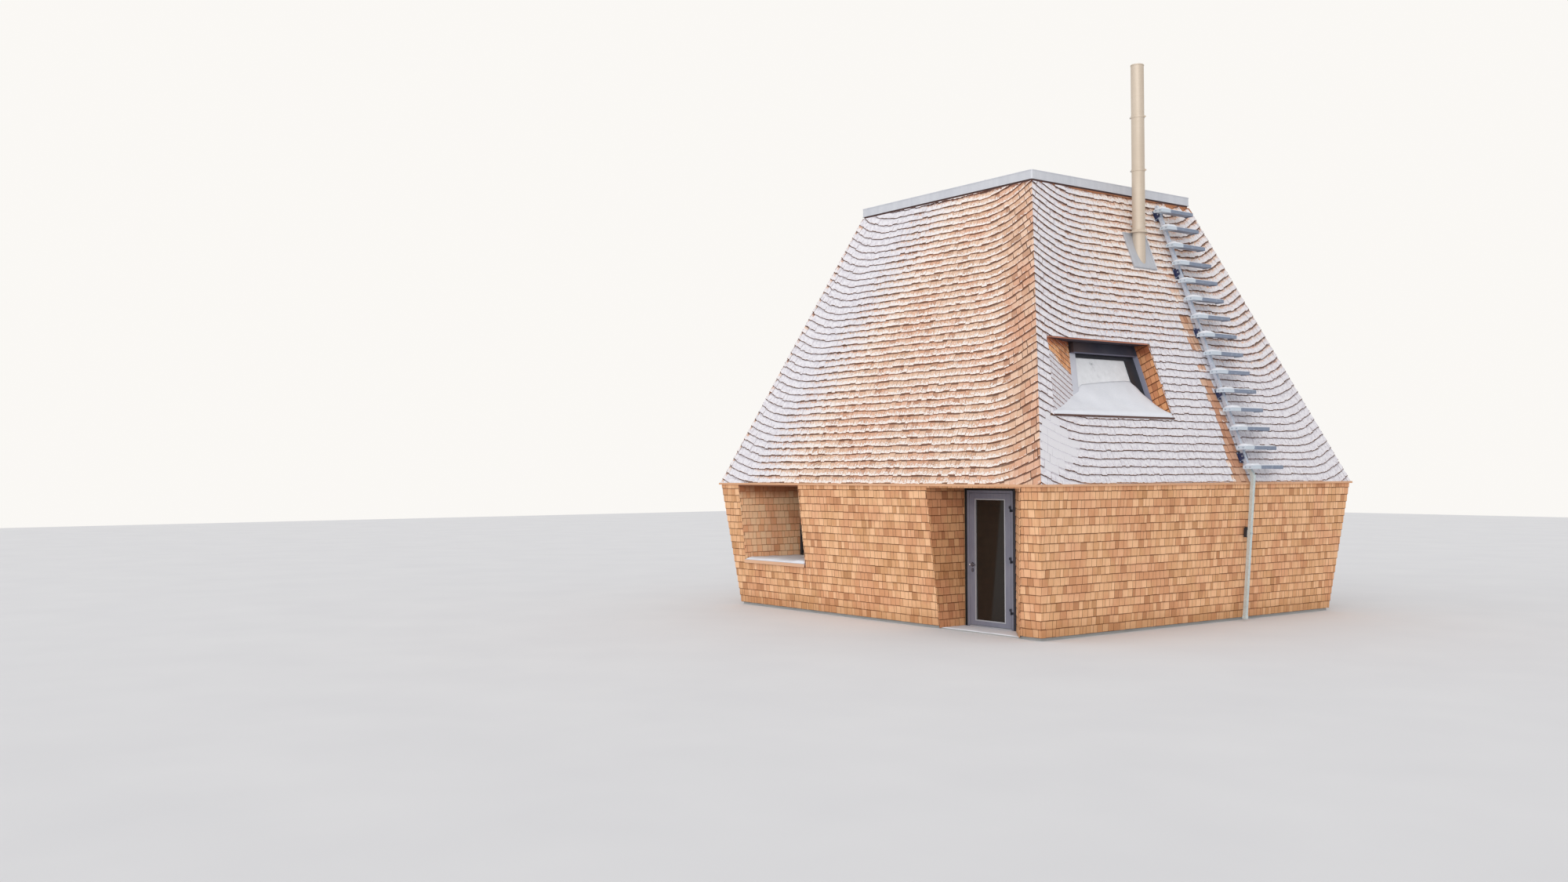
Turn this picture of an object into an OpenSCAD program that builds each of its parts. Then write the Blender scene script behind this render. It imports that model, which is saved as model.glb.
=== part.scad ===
// Shingle-clad hipped cabin with leaning walls, deep niches and a roof ladder

/* [Eave and footprint] */
// Overall width along the ladder wall's normal, at the eave boards
eave_x = 8600; // [7000:10:10500]
// Overall depth along the door wall's normal, at the eave boards
eave_y = 8400; // [7000:10:10500]
// Height of the eave line above the ground
eave_z = 2400; // [2200:10:2800]
// How far the eave boards stand out past the wall at its top
eave_out = 50; // [30:5:160]
// Depth of the eave boards
eave_board_h = 35; // [20:1:60]

/* [Walls] */
// Horizontal lean of every wall between its foot and its top
wall_lean = 290; // [150:10:450]
// Horizontal thickness of the outer walls
wall_t = 320; // [200:5:420]
// Thickness of the walls that line the niches
niche_t = 120; // [45:5:160]
// Height of the concrete plinth that shows under the shingles
plinth_h = 60; // [30:5:150]
// How far the plinth stands back from the foot of the wall
plinth_back = 12; // [0:1:40]
// Thickness of the ground floor
floor_t = 50; // [30:5:90]
// Thickness of the upper floor
upper_floor_t = 200; // [120:5:300]

/* [Roof] */
// Height of the flat top of the roof slopes
roof_top_z = 7590; // [6000:10:9000]
// Horizontal inset of the slopes over their height
roof_inset = 2026; // [1400:10:2600]
// Horizontal thickness of the roof slopes
roof_t = 500; // [300:5:560]
// How far the slope's foot stands back from the eave boards
roof_back = 40; // [15:1:60]
// Thickness of the timber deck that closes the top
deck_t = 40; // [24:2:120]
// How far the deck stands back from the slopes' top edge
deck_back = 8; // [0:1:40]
// Height of the metal cap's fascia
cap_h = 150; // [80:5:240]
// How far the cap stands out past the deck
cap_out = 26; // [10:1:80]
// Radius of the cap's rounded upper corners in plan
cap_corner_r = 30; // [5:1:80]

/* [Window niches] */
// Distance from the wall's far corner to the niche
niche_end = 620; // [560:10:1600]
// Width of the niche
niche_w = 1920; // [1200:10:2600]
// Height of the niche's sill above the ground
niche_sill_z = 905; // [500:5:1300]
// Depth of the niche from the eave line to its window
niche_depth = 1550; // [500:10:1800]
// Thickness of the niche's sill deck
niche_floor_t = 60; // [30:5:120]
// Thickness of the metal sill sheet
sill_sheet_t = 8; // [3:1:20]
// How far the sill sheet stands out past the wall
sill_sheet_out = 48; // [20:1:90]
// Thickness of the slabs over the niches
soffit_t = 60; // [30:5:120]
// Width of the niche window's frame members
niche_frame_w = 70; // [45:1:110]
// Depth of the niche window's frame
niche_frame_d = 90; // [60:1:140]
// Thickness of the niche window's glazing unit
niche_glass_t = 32; // [20:1:48]

/* [Door niche] */
// Distance from the near corner to the splayed jamb's outer edge
splay_out = 420; // [300:10:700]
// Clearance between the door frame and the splayed jamb's inner edge
splay_gap = 57; // [20:1:120]
// Clearance between the door frame and the straight far jamb
jamb_gap = 65; // [20:1:120]
// Depth of the door from the eave line
door_depth = 900; // [500:10:1200]
// Thickness of the doorstep slab
step_t = 18; // [10:1:50]

/* [Door] */
// Distance from the near corner to the door frame's near edge
door_near = 1430; // [1200:5:1700]
// Overall width of the door frame
door_frame_w = 1085; // [900:5:1400]
// Clearance between the door frame and the soffit over it
door_head_gap = 28; // [10:1:120]
// Width of the frame members beside and over the leaf
door_frame_face = 66; // [45:1:90]
// Depth of the door frame
door_frame_d = 92; // [70:1:120]
// How far the frame's stop reaches behind the leaf
door_stop = 16; // [8:1:25]
// Thickness of the door leaf
leaf_t = 68; // [45:1:90]
// Running gap round the leaf
leaf_gap = 5; // [3:0.5:8]
// Width of the leaf's stiles
leaf_stile = 132; // [90:1:170]
// Height of the leaf's top rail
leaf_top_rail = 100; // [80:1:180]
// Height of the leaf's foot rail
leaf_foot_rail = 84; // [60:1:200]
// Height of the threshold bar
threshold_h = 22; // [12:1:30]
// Thickness of the door's glazing unit
door_glass_t = 30; // [20:1:44]
// Width of the metal bead round the glass
bead_w = 9; // [6:1:25]
// How far the bead stands proud of the leaf
bead_out = 5; // [2:1:12]
// Thickness of the packers between frame and niche
packer_d = 70; // [40:1:90]

/* [Door furniture] */
// Height of the handle above the ground
handle_z = 1050; // [900:5:1150]
// Diameter of the handle's rose
rose_d = 54; // [40:1:65]
// Diameter of the handle's bar
handle_d = 20; // [14:1:26]
// How far the handle stands out from the leaf
handle_out = 58; // [40:1:80]
// Length of the lever
lever_l = 125; // [90:5:150]
// Drop from the handle down to the lock cylinder
lock_drop = 92; // [70:1:120]
// Diameter of the lock rose
lock_d = 46; // [30:1:55]
// Diameter of the hinge barrels
hinge_d = 22; // [16:1:30]
// Diameter of the hinge pins
hinge_pin_d = 10; // [7:0.5:14]
// Radial running clearance of the hinge pins
hinge_clear = 0.05; // [0.02:0.01:0.1]
// Height of one hinge
hinge_h = 100; // [80:2:140]
// Distance from the leaf's face out to the hinge line
hinge_out = 13; // [12:1:20]
// Thickness of the hinge flags
hinge_flag_t = 3; // [2:0.5:6]
// Width of the hinge flags
hinge_flag_w = 44; // [30:1:60]
// Height of the lowest hinge above the leaf's foot
hinge_low = 230; // [150:5:400]
// Height of the highest hinge below the leaf's top
hinge_high = 200; // [150:5:400]

/* [Roof windows] */
// Height of the inset's sill above the eave line
inset_sill_h = 1100; // [800:10:1600]
// Height of the inset's head above the eave line
inset_head_h = 2390; // [1900:10:2900]
// Distance from the near corner to the inset's side at the sill
inset_left_low = 790; // [700:10:1500]
// Distance from the near corner to the inset's side at the head
inset_left_high = 1200; // [900:10:1900]
// Length of the inset's long splayed cheek
inset_cheek_l = 970; // [500:10:1300]
// Distance from the near corner to the inset's far side
inset_right = 3745; // [3000:5:4600]
// Horizontal depth of the window behind the slope
inset_depth = 415; // [250:5:430]
// Horizontal depth of the window frame
inset_frame_d = 85; // [60:5:90]
// Width of the frame member at the far side
inset_frame_far = 250; // [60:5:280]
// Width of the frame member at the splayed side
inset_frame_near = 150; // [60:5:180]
// Height of the frame's top and foot members
inset_frame_h = 72; // [50:2:120]
// Thickness of the glazing unit
inset_glass_t = 36; // [24:1:50]
// Thickness of the inset's sill plate
inset_sill_t = 30; // [12:1:60]
// How far the sill plate stands out from the slope
inset_sill_out = 34; // [10:1:80]
// Thickness of the timber head lining
inset_head_t = 26; // [12:1:50]
// Height of the metal blind box under the head
blind_h = 190; // [100:5:260]
// Horizontal depth of the blind box
blind_d = 80; // [50:5:110]
// Width of the metal strip along the far reveal
strip_d = 115; // [50:5:150]
// Thickness of the metal strips beside the window
strip_t = 6; // [3:1:12]

/* [Flue] */
// Distance from the near corner to the flue's axis
flue_s = 4360; // [3900:10:4600]
// Horizontal inset of the flue's axis from the eave line
flue_inset = 1640; // [1200:10:1900]
// Outside diameter of the flue
flue_d = 230; // [150:5:350]
// Inside diameter of the flue
flue_bore_d = 180; // [100:5:300]
// Height of the flue's open end above the ground
flue_top_z = 9880; // [8500:10:11000]
// Diameter of the band clamps over the flue's joints
flue_band_d = 242; // [160:2:365]
// Height of the band clamps
flue_band_h = 40; // [20:2:80]
// Number of band clamps
flue_band_n = 2; // [1:1:4]
// Spacing of the band clamps
flue_band_gap = 960; // [500:10:1200]
// Depth of the flue's open mouth
flue_mouth = 300; // [100:10:600]
// Height of the flashing plate over the slope, shingles included
flash_t = 34; // [10:1:50]
// Width of the flashing plate
flash_w = 620; // [400:10:900]
// Height of the flashing plate's lower edge below the flue's axis
flash_low = 300; // [200:10:500]
// Height of the flashing plate's upper edge above the flue's axis
flash_high = 340; // [200:10:500]
// Diameter of the storm collar
collar_d = 340; // [280:5:420]
// Height of the storm collar
collar_h = 60; // [30:5:120]
// Height of the storm collar above the slope's highest point on the flue
collar_up = 60; // [20:5:200]

/* [Roof ladder] */
// Distance from the near corner to the ladder's spine
ladder_s = 5230; // [4700:10:6200]
// Width of the square spine
spine_w = 60; // [40:2:90]
// Clear distance from the slope out to the spine
spine_gap = 62; // [45:1:120]
// Number of treads
tread_n = 15; // [8:1:18]
// Height of the lowest tread above the eave line
tread_first = 240; // [200:10:500]
// Vertical spacing of the treads
tread_pitch = 335; // [250:5:350]
// Length of a tread
tread_l = 890; // [600:10:1200]
// How far a tread reaches past the spine on the short side
tread_short = 200; // [100:5:500]
// Depth of a tread from front to back
tread_d = 190; // [120:5:300]
// Thickness of a tread
tread_t = 45; // [20:1:60]
// Number of brackets that hold the spine
spine_bracket_n = 5; // [3:1:8]
// Height of the lowest bracket above the eave line
bracket_low = 420; // [250:10:600]
// Distance of the highest bracket below the spine's top
bracket_high = 200; // [100:10:400]
// Width of one bracket
bracket_w = 100; // [60:5:160]
// Height of one bracket
bracket_h = 130; // [40:5:160]
// Height of the spine's foot above the eave line
spine_low = 150; // [60:5:180]
// Width of the mast's square section
mast_w = 60; // [40:2:110]
// Horizontal distance of the mast's foot beyond the wall
mast_foot_out = 205; // [120:5:320]
// Clear distance of the mast from the eave boards
mast_clear = 30; // [15:1:80]
// Height of the mast's foot above the ground
mast_foot_z = 40; // [0:5:150]
// Height of the mast's clamp above the ground
mast_clamp_z = 1430; // [500:10:2000]
// Height of the mast's clamp
clamp_h = 110; // [40:5:200]
// Thickness of the clamp round the mast
clamp_t = 6; // [3:1:12]
// Reach of the clamp back towards the wall
clamp_reach = 60; // [20:5:110]

/* [Hidden] */
$fn = 48;
hx = eave_x / 2;
hy = eave_y / 2;
over = 40;
bed = 0.5;
wall_k = wall_lean / eave_z;
wall_foot = eave_out + wall_lean;
roof_z0 = eave_z;
roof_k = roof_inset / (roof_top_z - eave_z);
roof_y0 = -hy + roof_back;
roof_x0 = hx - roof_back;
mitre_in = 900;
roof_mitre_in = roof_inset + roof_back + roof_t + over;
soffit_z = eave_z - soffit_t;
door_head_z = soffit_z - door_head_gap;
splay_in = door_near - splay_gap;
door_jamb_far = door_near + door_frame_w + jamb_gap;
splay_len = norm([splay_in - splay_out, door_depth]);
splay_k = (splay_in - splay_out) / door_depth;
door_y = -hy + door_depth;
door_x1 = hx - door_near;
door_x0 = door_x1 - door_frame_w;
niche_x0 = -hx + niche_end;
niche_x1 = niche_x0 + niche_w;
niche_back = niche_depth + niche_frame_d;
door_back = door_depth + door_frame_d;
leaf_x0 = door_x0 + door_frame_face + leaf_gap;
leaf_x1 = door_x1 - door_frame_face - leaf_gap;
leaf_z0 = step_t + threshold_h + leaf_gap;
leaf_z1 = door_head_z - door_frame_face - leaf_gap;
hinge_x = leaf_x1 + leaf_gap / 2;
hinge_y = door_y - hinge_out;
hinge_z0 = leaf_z0 + hinge_low;
hinge_z2 = leaf_z1 - hinge_high - hinge_h;
hinge_zs = [hinge_z0, (hinge_z0 + hinge_z2) / 2, hinge_z2];
inset_z0 = eave_z + inset_sill_h;
inset_z1 = eave_z + inset_head_h;
inset_k = (inset_left_high - inset_left_low) / (inset_z1 - inset_z0);
cap_z0 = roof_top_z + deck_t;
cap_z1 = cap_z0 + cap_h;
spine_x = spine_gap + spine_w / 2;
mast_top_x = hx + mast_clear + mast_w / 2;
mast_foot_x = hx - wall_foot + mast_foot_out;
mast_top_z = eave_z + spine_low - 20;
mast_a = atan2(mast_top_x - mast_foot_x, mast_top_z - mast_foot_z);
mast_l = norm([mast_top_x - mast_foot_x, mast_top_z - mast_foot_z]);
flue_x = hx - flue_inset;
flue_y = -hy + flue_s;
flue_z0 = eave_z + (flue_inset - roof_back) / roof_k;
roof_a = atan2(1, roof_k);

wood_c = [0.62, 0.42, 0.24];
trim_c = [0.42, 0.30, 0.20];
stone_c = [0.62, 0.62, 0.60];
metal_c = [0.74, 0.75, 0.76];
slate_c = [0.36, 0.44, 0.52];
dark_c = [0.10, 0.11, 0.12];
glass_c = [0.30, 0.36, 0.40];

// Helpers that place a plain profile along an axis
module along_x(x0, x1) {
  translate([x0, 0, 0]) rotate([90, 0, 90]) linear_extrude(x1 - x0) children();
}
module along_y(y0, y1) {
  translate([0, y1, 0]) rotate([90, 0, 0]) linear_extrude(y1 - y0) children();
}
module twice() {
  children();
  rotate([0, 0, 180]) children();
}

// Wall profile across the door wall, drawn in Y and Z
module wall_profile_y(z0, z1) {
  polygon([
    [-hy + wall_foot - wall_k * z0, z0],
    [-hy + wall_foot - wall_k * z1, z1],
    [-hy + wall_foot - wall_k * z1 + wall_t, z1],
    [-hy + wall_foot - wall_k * z0 + wall_t, z0]]);
}
module wall_profile_x(z0, z1) {
  polygon([
    [hx - wall_foot + wall_k * z0, z0],
    [hx - wall_foot + wall_k * z1, z1],
    [hx - wall_foot + wall_k * z1 - wall_t, z1],
    [hx - wall_foot + wall_k * z0 - wall_t, z0]]);
}
module front_slab(x0, x1, z0, z1) {
  along_x(x0, x1) wall_profile_y(z0, z1);
}

// Space behind the inner face of the door wall
module behind_front(x0, x1, y1, z0, z1) {
  along_x(x0, x1) polygon([
    [-hy + wall_foot - wall_k * z0 + wall_t, z0],
    [-hy + wall_foot - wall_k * z1 + wall_t, z1],
    [y1, z1],
    [y1, z0]]);
}

// Roof slope across the ladder side, between two horizontal depths
module right_slope(d0, d1, z0, z1) {
  along_y(-hy - over, hy + over) polygon([
    [roof_x0 - d0 - roof_k * (z0 - eave_z), z0],
    [roof_x0 - d0 - roof_k * (z1 - eave_z), z1],
    [roof_x0 - d1 - roof_k * (z1 - eave_z), z1],
    [roof_x0 - d1 - roof_k * (z0 - eave_z), z0]]);
}
module front_slope(z0, z1) {
  along_x(-hx, hx) polygon([
    [roof_y0 + roof_k * (z0 - eave_z), z0],
    [roof_y0 + roof_k * (z1 - eave_z), z1],
    [roof_y0 + roof_k * (z1 - eave_z) + roof_t, z1],
    [roof_y0 + roof_k * (z0 - eave_z) + roof_t, z0]]);
}

// Plan wedges that mitre neighbouring sides along the diagonals of the corners
module right_wedge(d) {
  linear_extrude(roof_top_z + over) polygon([
    [hx + over, -hy - over],
    [hx + over, hy + over],
    [hx - d, hy - d],
    [hx - d, -hy + d]]);
}
module right_wedge_in(g) {
  translate([g * 2, 0, 0]) right_wedge(roof_mitre_in);
}
module front_wedge(d) {
  linear_extrude(roof_top_z + over) polygon([
    [-hx - over, -hy - over],
    [hx + over, -hy - over],
    [hx - d, -hy + d],
    [-hx + d, -hy + d]]);
}

// Inset outline on the ladder slope, drawn in Y and Z
function inset_left(z) = -hy + inset_left_low + inset_k * (z - inset_z0);
module inset_zone(l, r, z0, z1) {
  along_x(0, hx + over) polygon([
    [inset_left(z0) + l, z0],
    [-hy + inset_right - r, z0],
    [-hy + inset_right - r, z1],
    [inset_left(z1) + l, z1]]);
}

// Ground works and floors
module door_notch(p) {
  polygon([
    [hx - door_jamb_far, -hy + p],
    [hx - door_jamb_far, -hy + door_back],
    [hx - splay_in, -hy + door_back],
    [hx - splay_in, door_y],
    [hx - splay_out - splay_k * p, -hy + p]]);
}

module foundation() {
  p = wall_foot + plinth_back;
  color(stone_c) linear_extrude(plinth_h) difference() {
    translate([-hx + p, -hy + p]) square([eave_x - 2 * p, eave_y - 2 * p]);
    door_notch(p - over);
    door_notch(p);
  }
}

module doorstep() {
  color(stone_c) linear_extrude(step_t) door_notch(wall_foot + plinth_back);
}

module floor() {
  p = wall_foot + wall_t;
  q = door_back + over;
  color(wood_c) translate([0, 0, plinth_h]) linear_extrude(floor_t) polygon([
    [-hx + p, -hy + p],
    [hx - door_jamb_far - niche_t, -hy + p],
    [hx - door_jamb_far - niche_t, -hy + q],
    [hx - p, -hy + q],
    [hx - p, hy - p],
    [-hx + p, hy - p]]);
}

module upper_floor() {
  a = roof_back + roof_t + 2 * bed;
  b = a + roof_k * upper_floor_t;
  z1 = eave_z + upper_floor_t;
  color(wood_c) intersection() {
    along_x(-hx, hx) polygon([[-hy + a, eave_z], [hy - a, eave_z], [hy - b, z1], [-hy + b, z1]]);
    along_y(-hy, hy) polygon([[-hx + a, eave_z], [hx - a, eave_z], [hx - b, z1], [-hx + b, z1]]);
  }
}

// Outer walls
module corner_wall() {
  intersection() {
    front_slab(0, hx, plinth_h, eave_z);
    linear_extrude(eave_z) polygon([
      [hx, -hy],
      [hx - mitre_in, -hy + mitre_in],
      [hx - splay_out - splay_k * mitre_in, -hy + mitre_in],
      [hx - splay_out, -hy]]);
  }
}
module end_wall() {
  intersection() {
    front_slab(-hx, niche_x0, plinth_h, eave_z);
    front_wedge(mitre_in);
  }
}
module long_wall() {
  intersection() {
    front_slab(niche_x1, hx, plinth_h, eave_z);
    front_wedge(mitre_in);
  }
}

module front_wall() {
  color(wood_c) {
    corner_wall();
    front_slab(niche_x1, hx - door_jamb_far, plinth_h, eave_z);
    end_wall();
  }
}

module window_apron_walls() {
  color(wood_c) twice() intersection() {
    front_slab(niche_x0, niche_x1, plinth_h, niche_sill_z - niche_floor_t);
    front_wedge(mitre_in);
  }
}

module side_wall() {
  intersection() {
    along_y(-hy, hy) wall_profile_x(plinth_h, eave_z);
    right_wedge(mitre_in);
  }
}

module right_wall() {
  color(wood_c) side_wall();
}

module left_wall() {
  color(wood_c) rotate([0, 0, 180]) side_wall();
}

module back_wall() {
  color(wood_c) rotate([0, 0, 180]) {
    long_wall();
    end_wall();
  }
}

// Door niche
module door_niche_walls() {
  x1 = hx - door_jamb_far;
  color(wood_c) {
    behind_front(x1 - niche_t, x1, -hy + door_back, plinth_h, soffit_z);
    intersection() {
      behind_front(0, hx, -hy + door_back, plinth_h, soffit_z);
      linear_extrude(eave_z) polygon([
        [hx - splay_out, -hy],
        [hx - splay_in, door_y],
        [hx - splay_in, -hy + door_back],
        [hx - splay_in + niche_t, -hy + door_back],
        [hx - splay_in + niche_t * splay_len / door_depth, door_y],
        [hx - splay_out + niche_t * splay_len / door_depth, -hy]]);
    }
  }
}

module door_niche_soffit() {
  y0 = -hy + eave_out;
  color(trim_c) translate([0, 0, soffit_z]) linear_extrude(soffit_t) polygon([
    [hx - door_jamb_far, y0],
    [hx - door_jamb_far, -hy + door_back],
    [hx - splay_in - bed, -hy + door_back],
    [hx - splay_in - bed, door_y],
    [hx - splay_out - splay_k * eave_out - bed, y0]]);
}

// Window niches
module niche_lining_set() {
  y1 = -hy + niche_back;
  z0 = niche_sill_z - niche_floor_t;
  far_t = 40;
  behind_front(niche_x1, niche_x1 + niche_t, y1, z0, soffit_z);
  behind_front(niche_x0 - far_t, niche_x0, y1, z0, soffit_z);
  translate([niche_x0, -hy + eave_out, soffit_z])
    cube([niche_w, niche_back - eave_out, soffit_t]);
}

module window_niche_linings() {
  color(wood_c) twice() niche_lining_set();
}

module niche_sill_set() {
  z0 = niche_sill_z - niche_floor_t;
  f0 = -hy + wall_foot - wall_k * niche_sill_z;
  w = niche_w;
  translate([niche_x0, f0, z0]) cube([w, -hy + niche_back - f0, niche_floor_t - sill_sheet_t]);
  translate([niche_x0, f0 - sill_sheet_out, niche_sill_z - sill_sheet_t])
    cube([w, -hy + niche_depth - f0 + sill_sheet_out, sill_sheet_t]);
  translate([niche_x0, f0 - sill_sheet_out, niche_sill_z - 5 * sill_sheet_t])
    cube([w, sill_sheet_t, 5 * sill_sheet_t]);
}

module window_niche_sills() {
  color(metal_c) twice() niche_sill_set();
}

module niche_frame_set() {
  w = niche_w;
  h = soffit_z - niche_sill_z;
  f = niche_frame_w;
  translate([niche_x0, -hy + niche_depth, niche_sill_z]) difference() {
    cube([w, niche_frame_d, h]);
    translate([f, -over, f]) cube([w - 2 * f, niche_frame_d + 2 * over, h - 2 * f]);
  }
}

module window_niche_frames() {
  color(dark_c) twice() niche_frame_set();
}

module window_niche_glass() {
  f = niche_frame_w;
  w = niche_w - 2 * f;
  h = soffit_z - niche_sill_z - 2 * f;
  y = -hy + niche_depth + (niche_frame_d - niche_glass_t) / 2;
  color(glass_c) twice() translate([niche_x0 + f, y, niche_sill_z + f]) cube([w, niche_glass_t, h]);
}

// Eave boards
module eave_front_set() {
  intersection() {
    translate([-hx, -hy, eave_z - eave_board_h]) cube([eave_x, eave_out, eave_board_h]);
    front_wedge(eave_out + over);
  }
}
module eave_right_set() {
  intersection() {
    translate([hx - eave_out, -hy, eave_z - eave_board_h]) cube([eave_out, eave_y, eave_board_h]);
    right_wedge(eave_out + over);
  }
}

module eave_boards() {
  color(trim_c) twice() {
    eave_front_set();
    eave_right_set();
  }
}

// Roof slopes
module front_roof_set() {
  intersection() {
    front_slope(eave_z, roof_top_z);
    front_wedge(roof_mitre_in);
  }
}
module lower_set() {
  intersection() {
    right_slope(0, roof_t, eave_z, inset_z0 - inset_sill_t);
    right_wedge(roof_mitre_in);
  }
}
module upper_set() {
  intersection() {
    right_slope(0, roof_t, inset_z1, roof_top_z);
    right_wedge(roof_mitre_in);
  }
}
module near_set() {
  z0 = inset_z0 - inset_sill_t;
  intersection() {
    right_slope(0, roof_t, z0, inset_z1);
    right_wedge(roof_mitre_in);
    along_x(0, hx + over) polygon([
      [-hy, z0],
      [inset_left(z0), z0],
      [inset_left(inset_z1), inset_z1],
      [-hy, inset_z1]]);
  }
}
module far_set() {
  z0 = inset_z0 - inset_sill_t;
  intersection() {
    right_slope(0, roof_t, z0, inset_z1);
    right_wedge(roof_mitre_in);
    translate([0, -hy + inset_right, z0]) cube([hx + over, eave_y, inset_z1 - z0]);
  }
}

module front_roof() {
  color(wood_c) front_roof_set();
}

module back_roof() {
  color(wood_c) rotate([0, 0, 180]) front_roof_set();
}

module right_roof() {
  color(wood_c) {
    lower_set();
    upper_set();
  }
}

module right_roof_middle() {
  color(wood_c) {
    near_set();
    far_set();
  }
}

module left_roof() {
  color(wood_c) rotate([0, 0, 180]) {
    lower_set();
    upper_set();
  }
}

module left_roof_middle() {
  color(wood_c) rotate([0, 0, 180]) {
    near_set();
    far_set();
  }
}

module roof_deck() {
  p = roof_back + roof_inset + deck_back;
  color(trim_c) translate([-hx + p, -hy + p, roof_top_z]) cube([eave_x - 2 * p, eave_y - 2 * p, deck_t]);
}

module roof_cap() {
  p = roof_back + roof_inset + deck_back - cap_out;
  r = cap_corner_r;
  color(metal_c) translate([-hx + p, -hy + p, cap_z0]) linear_extrude(cap_h) union() {
    translate([r, 0]) square([eave_x - 2 * p - 2 * r, eave_y - 2 * p]);
    translate([0, r]) square([eave_x - 2 * p, eave_y - 2 * p - 2 * r]);
    for (x = [r, eave_x - 2 * p - r]) {
      for (y = [r, eave_y - 2 * p - r]) translate([x, y]) circle(r);
    }
  }
}

// Inset roof windows
module cheek_zone() {
  z1 = inset_z1 - inset_head_t - bed;
  along_x(0, hx + over) polygon([
    [inset_left(inset_z0) + bed, inset_z0],
    [inset_left(inset_z0) + inset_cheek_l, inset_z0],
    [inset_left(z1) + inset_cheek_l, z1],
    [inset_left(z1) + bed, z1]]);
}

module cheek_solid() {
  u = [-roof_k, inset_k, 1];
  v = [-inset_depth, inset_cheek_l, 0];
  n = cross(v, u);
  m = n[0] > 0 ? n : -n;
  difference() {
    intersection() {
      right_slope(0, roof_t, inset_z0, inset_z1);
      cheek_zone();
      right_wedge_in(bed);
    }
    translate([roof_x0 - roof_k * (inset_z0 - eave_z), inset_left(inset_z0), inset_z0])
      rotate([0, acos(m[2] / norm(m)), atan2(m[1], m[0])])
        translate([-eave_x, -eave_y, 0]) cube([2 * eave_x, 2 * eave_y, eave_x]);
  }
}

module roof_window_cheeks() {
  color(wood_c) twice() cheek_solid();
}

module sill_set() {
  z0 = inset_z0 - inset_sill_t;
  intersection() {
    right_wedge_in(bed);
    along_y(inset_left(z0), -hy + inset_right) polygon([
      [roof_x0 - roof_k * (z0 - eave_z) + inset_sill_out, z0],
      [roof_x0 - roof_k * (z0 - eave_z) + inset_sill_out, inset_z0],
      [roof_x0 - roof_k * (inset_z0 - eave_z) - roof_t, inset_z0],
      [roof_x0 - roof_k * (z0 - eave_z) - roof_t, z0]]);
    along_x(0, hx + over) polygon([
      [inset_left(z0) + bed, z0],
      [-hy + inset_right, z0],
      [-hy + inset_right, inset_z0],
      [inset_left(inset_z0) + bed, inset_z0]]);
  }
}

module roof_window_sills() {
  color(metal_c) twice() sill_set();
}

module inset_frame_set() {
  d0 = inset_depth;
  d1 = inset_depth + inset_frame_d;
  z1 = inset_z1 - inset_head_t;
  f = inset_frame_h;
  difference() {
    intersection() {
      right_slope(d0, d1, inset_z0, z1);
      inset_zone(inset_cheek_l, 0, inset_z0, z1);
    }
    inset_zone(inset_cheek_l + inset_frame_near, inset_frame_far, inset_z0 + f, z1 - blind_h - f);
  }
}

module roof_window_frames() {
  color(dark_c) twice() inset_frame_set();
}

module inset_glass_set() {
  d0 = inset_depth + (inset_frame_d - inset_glass_t) / 2;
  z1 = inset_z1 - inset_head_t;
  f = inset_frame_h;
  intersection() {
    right_slope(d0, d0 + inset_glass_t, inset_z0, z1);
    inset_zone(inset_cheek_l + inset_frame_near, inset_frame_far, inset_z0 + f, z1 - blind_h - f);
  }
}

module roof_window_glass() {
  color(glass_c) twice() inset_glass_set();
}

function near_strip(z) = inset_left(z) + inset_cheek_l + bed;
module inset_trim_set() {
  z1 = inset_z1 - inset_head_t;
  zb = z1 - blind_h;
  intersection() {
    right_slope(inset_depth - blind_d, inset_depth - bed, zb, z1);
    inset_zone(inset_cheek_l + over, strip_t, zb, z1);
  }
  intersection() {
    right_slope(inset_depth - strip_d, inset_depth - bed, inset_z0, z1);
    translate([0, -hy + inset_right - strip_t, inset_z0]) cube([hx, strip_t, z1 - inset_z0]);
  }
  intersection() {
    right_slope(inset_depth - strip_t - bed, inset_depth - bed, inset_z0, zb);
    along_x(0, hx + over) polygon([
      [near_strip(inset_z0), inset_z0],
      [near_strip(inset_z0) + inset_frame_near, inset_z0],
      [near_strip(zb) + inset_frame_near, zb],
      [near_strip(zb), zb]]);
  }
}

module roof_window_heads() {
  z1 = inset_z1 - inset_head_t;
  color(trim_c) twice() intersection() {
    right_slope(0, roof_t, z1, inset_z1);
    inset_zone(bed, 0, z1, inset_z1);
    right_wedge_in(bed);
  }
}

module roof_window_trims() {
  color(metal_c) twice() inset_trim_set();
}

// Flue
module flue() {
  z0 = flue_z0 - flue_d / 2 / roof_k;
  z1 = flue_z0 + flue_d / 2 / roof_k + collar_up;
  color(metal_c) difference() {
    union() {
      translate([flue_x, flue_y, z0]) cylinder(d = flue_d, h = flue_top_z - z0);
      for (i = [1 : flue_band_n]) {
        translate([flue_x, flue_y, flue_top_z - i * flue_band_gap]) cylinder(d = flue_band_d, h = flue_band_h);
      }
      translate([flue_x, flue_y, z1]) cylinder(d1 = collar_d, d2 = flue_d, h = collar_h);
    }
    translate([flue_x, flue_y, flue_top_z - flue_mouth]) cylinder(d = flue_bore_d, h = flue_mouth + over);
    right_slope(-flash_t - bed, roof_t * 2, eave_z, roof_top_z + flue_d);
  }
}

module flue_flashing() {
  y0 = flue_y - flash_w / 2;
  z0 = flue_z0 - flash_low;
  color(metal_c) intersection() {
    right_slope(-flash_t, -bed, z0, flue_z0 + flash_high);
    translate([0, y0, 0]) cube([hx, flash_w, flue_top_z]);
  }
}

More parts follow.
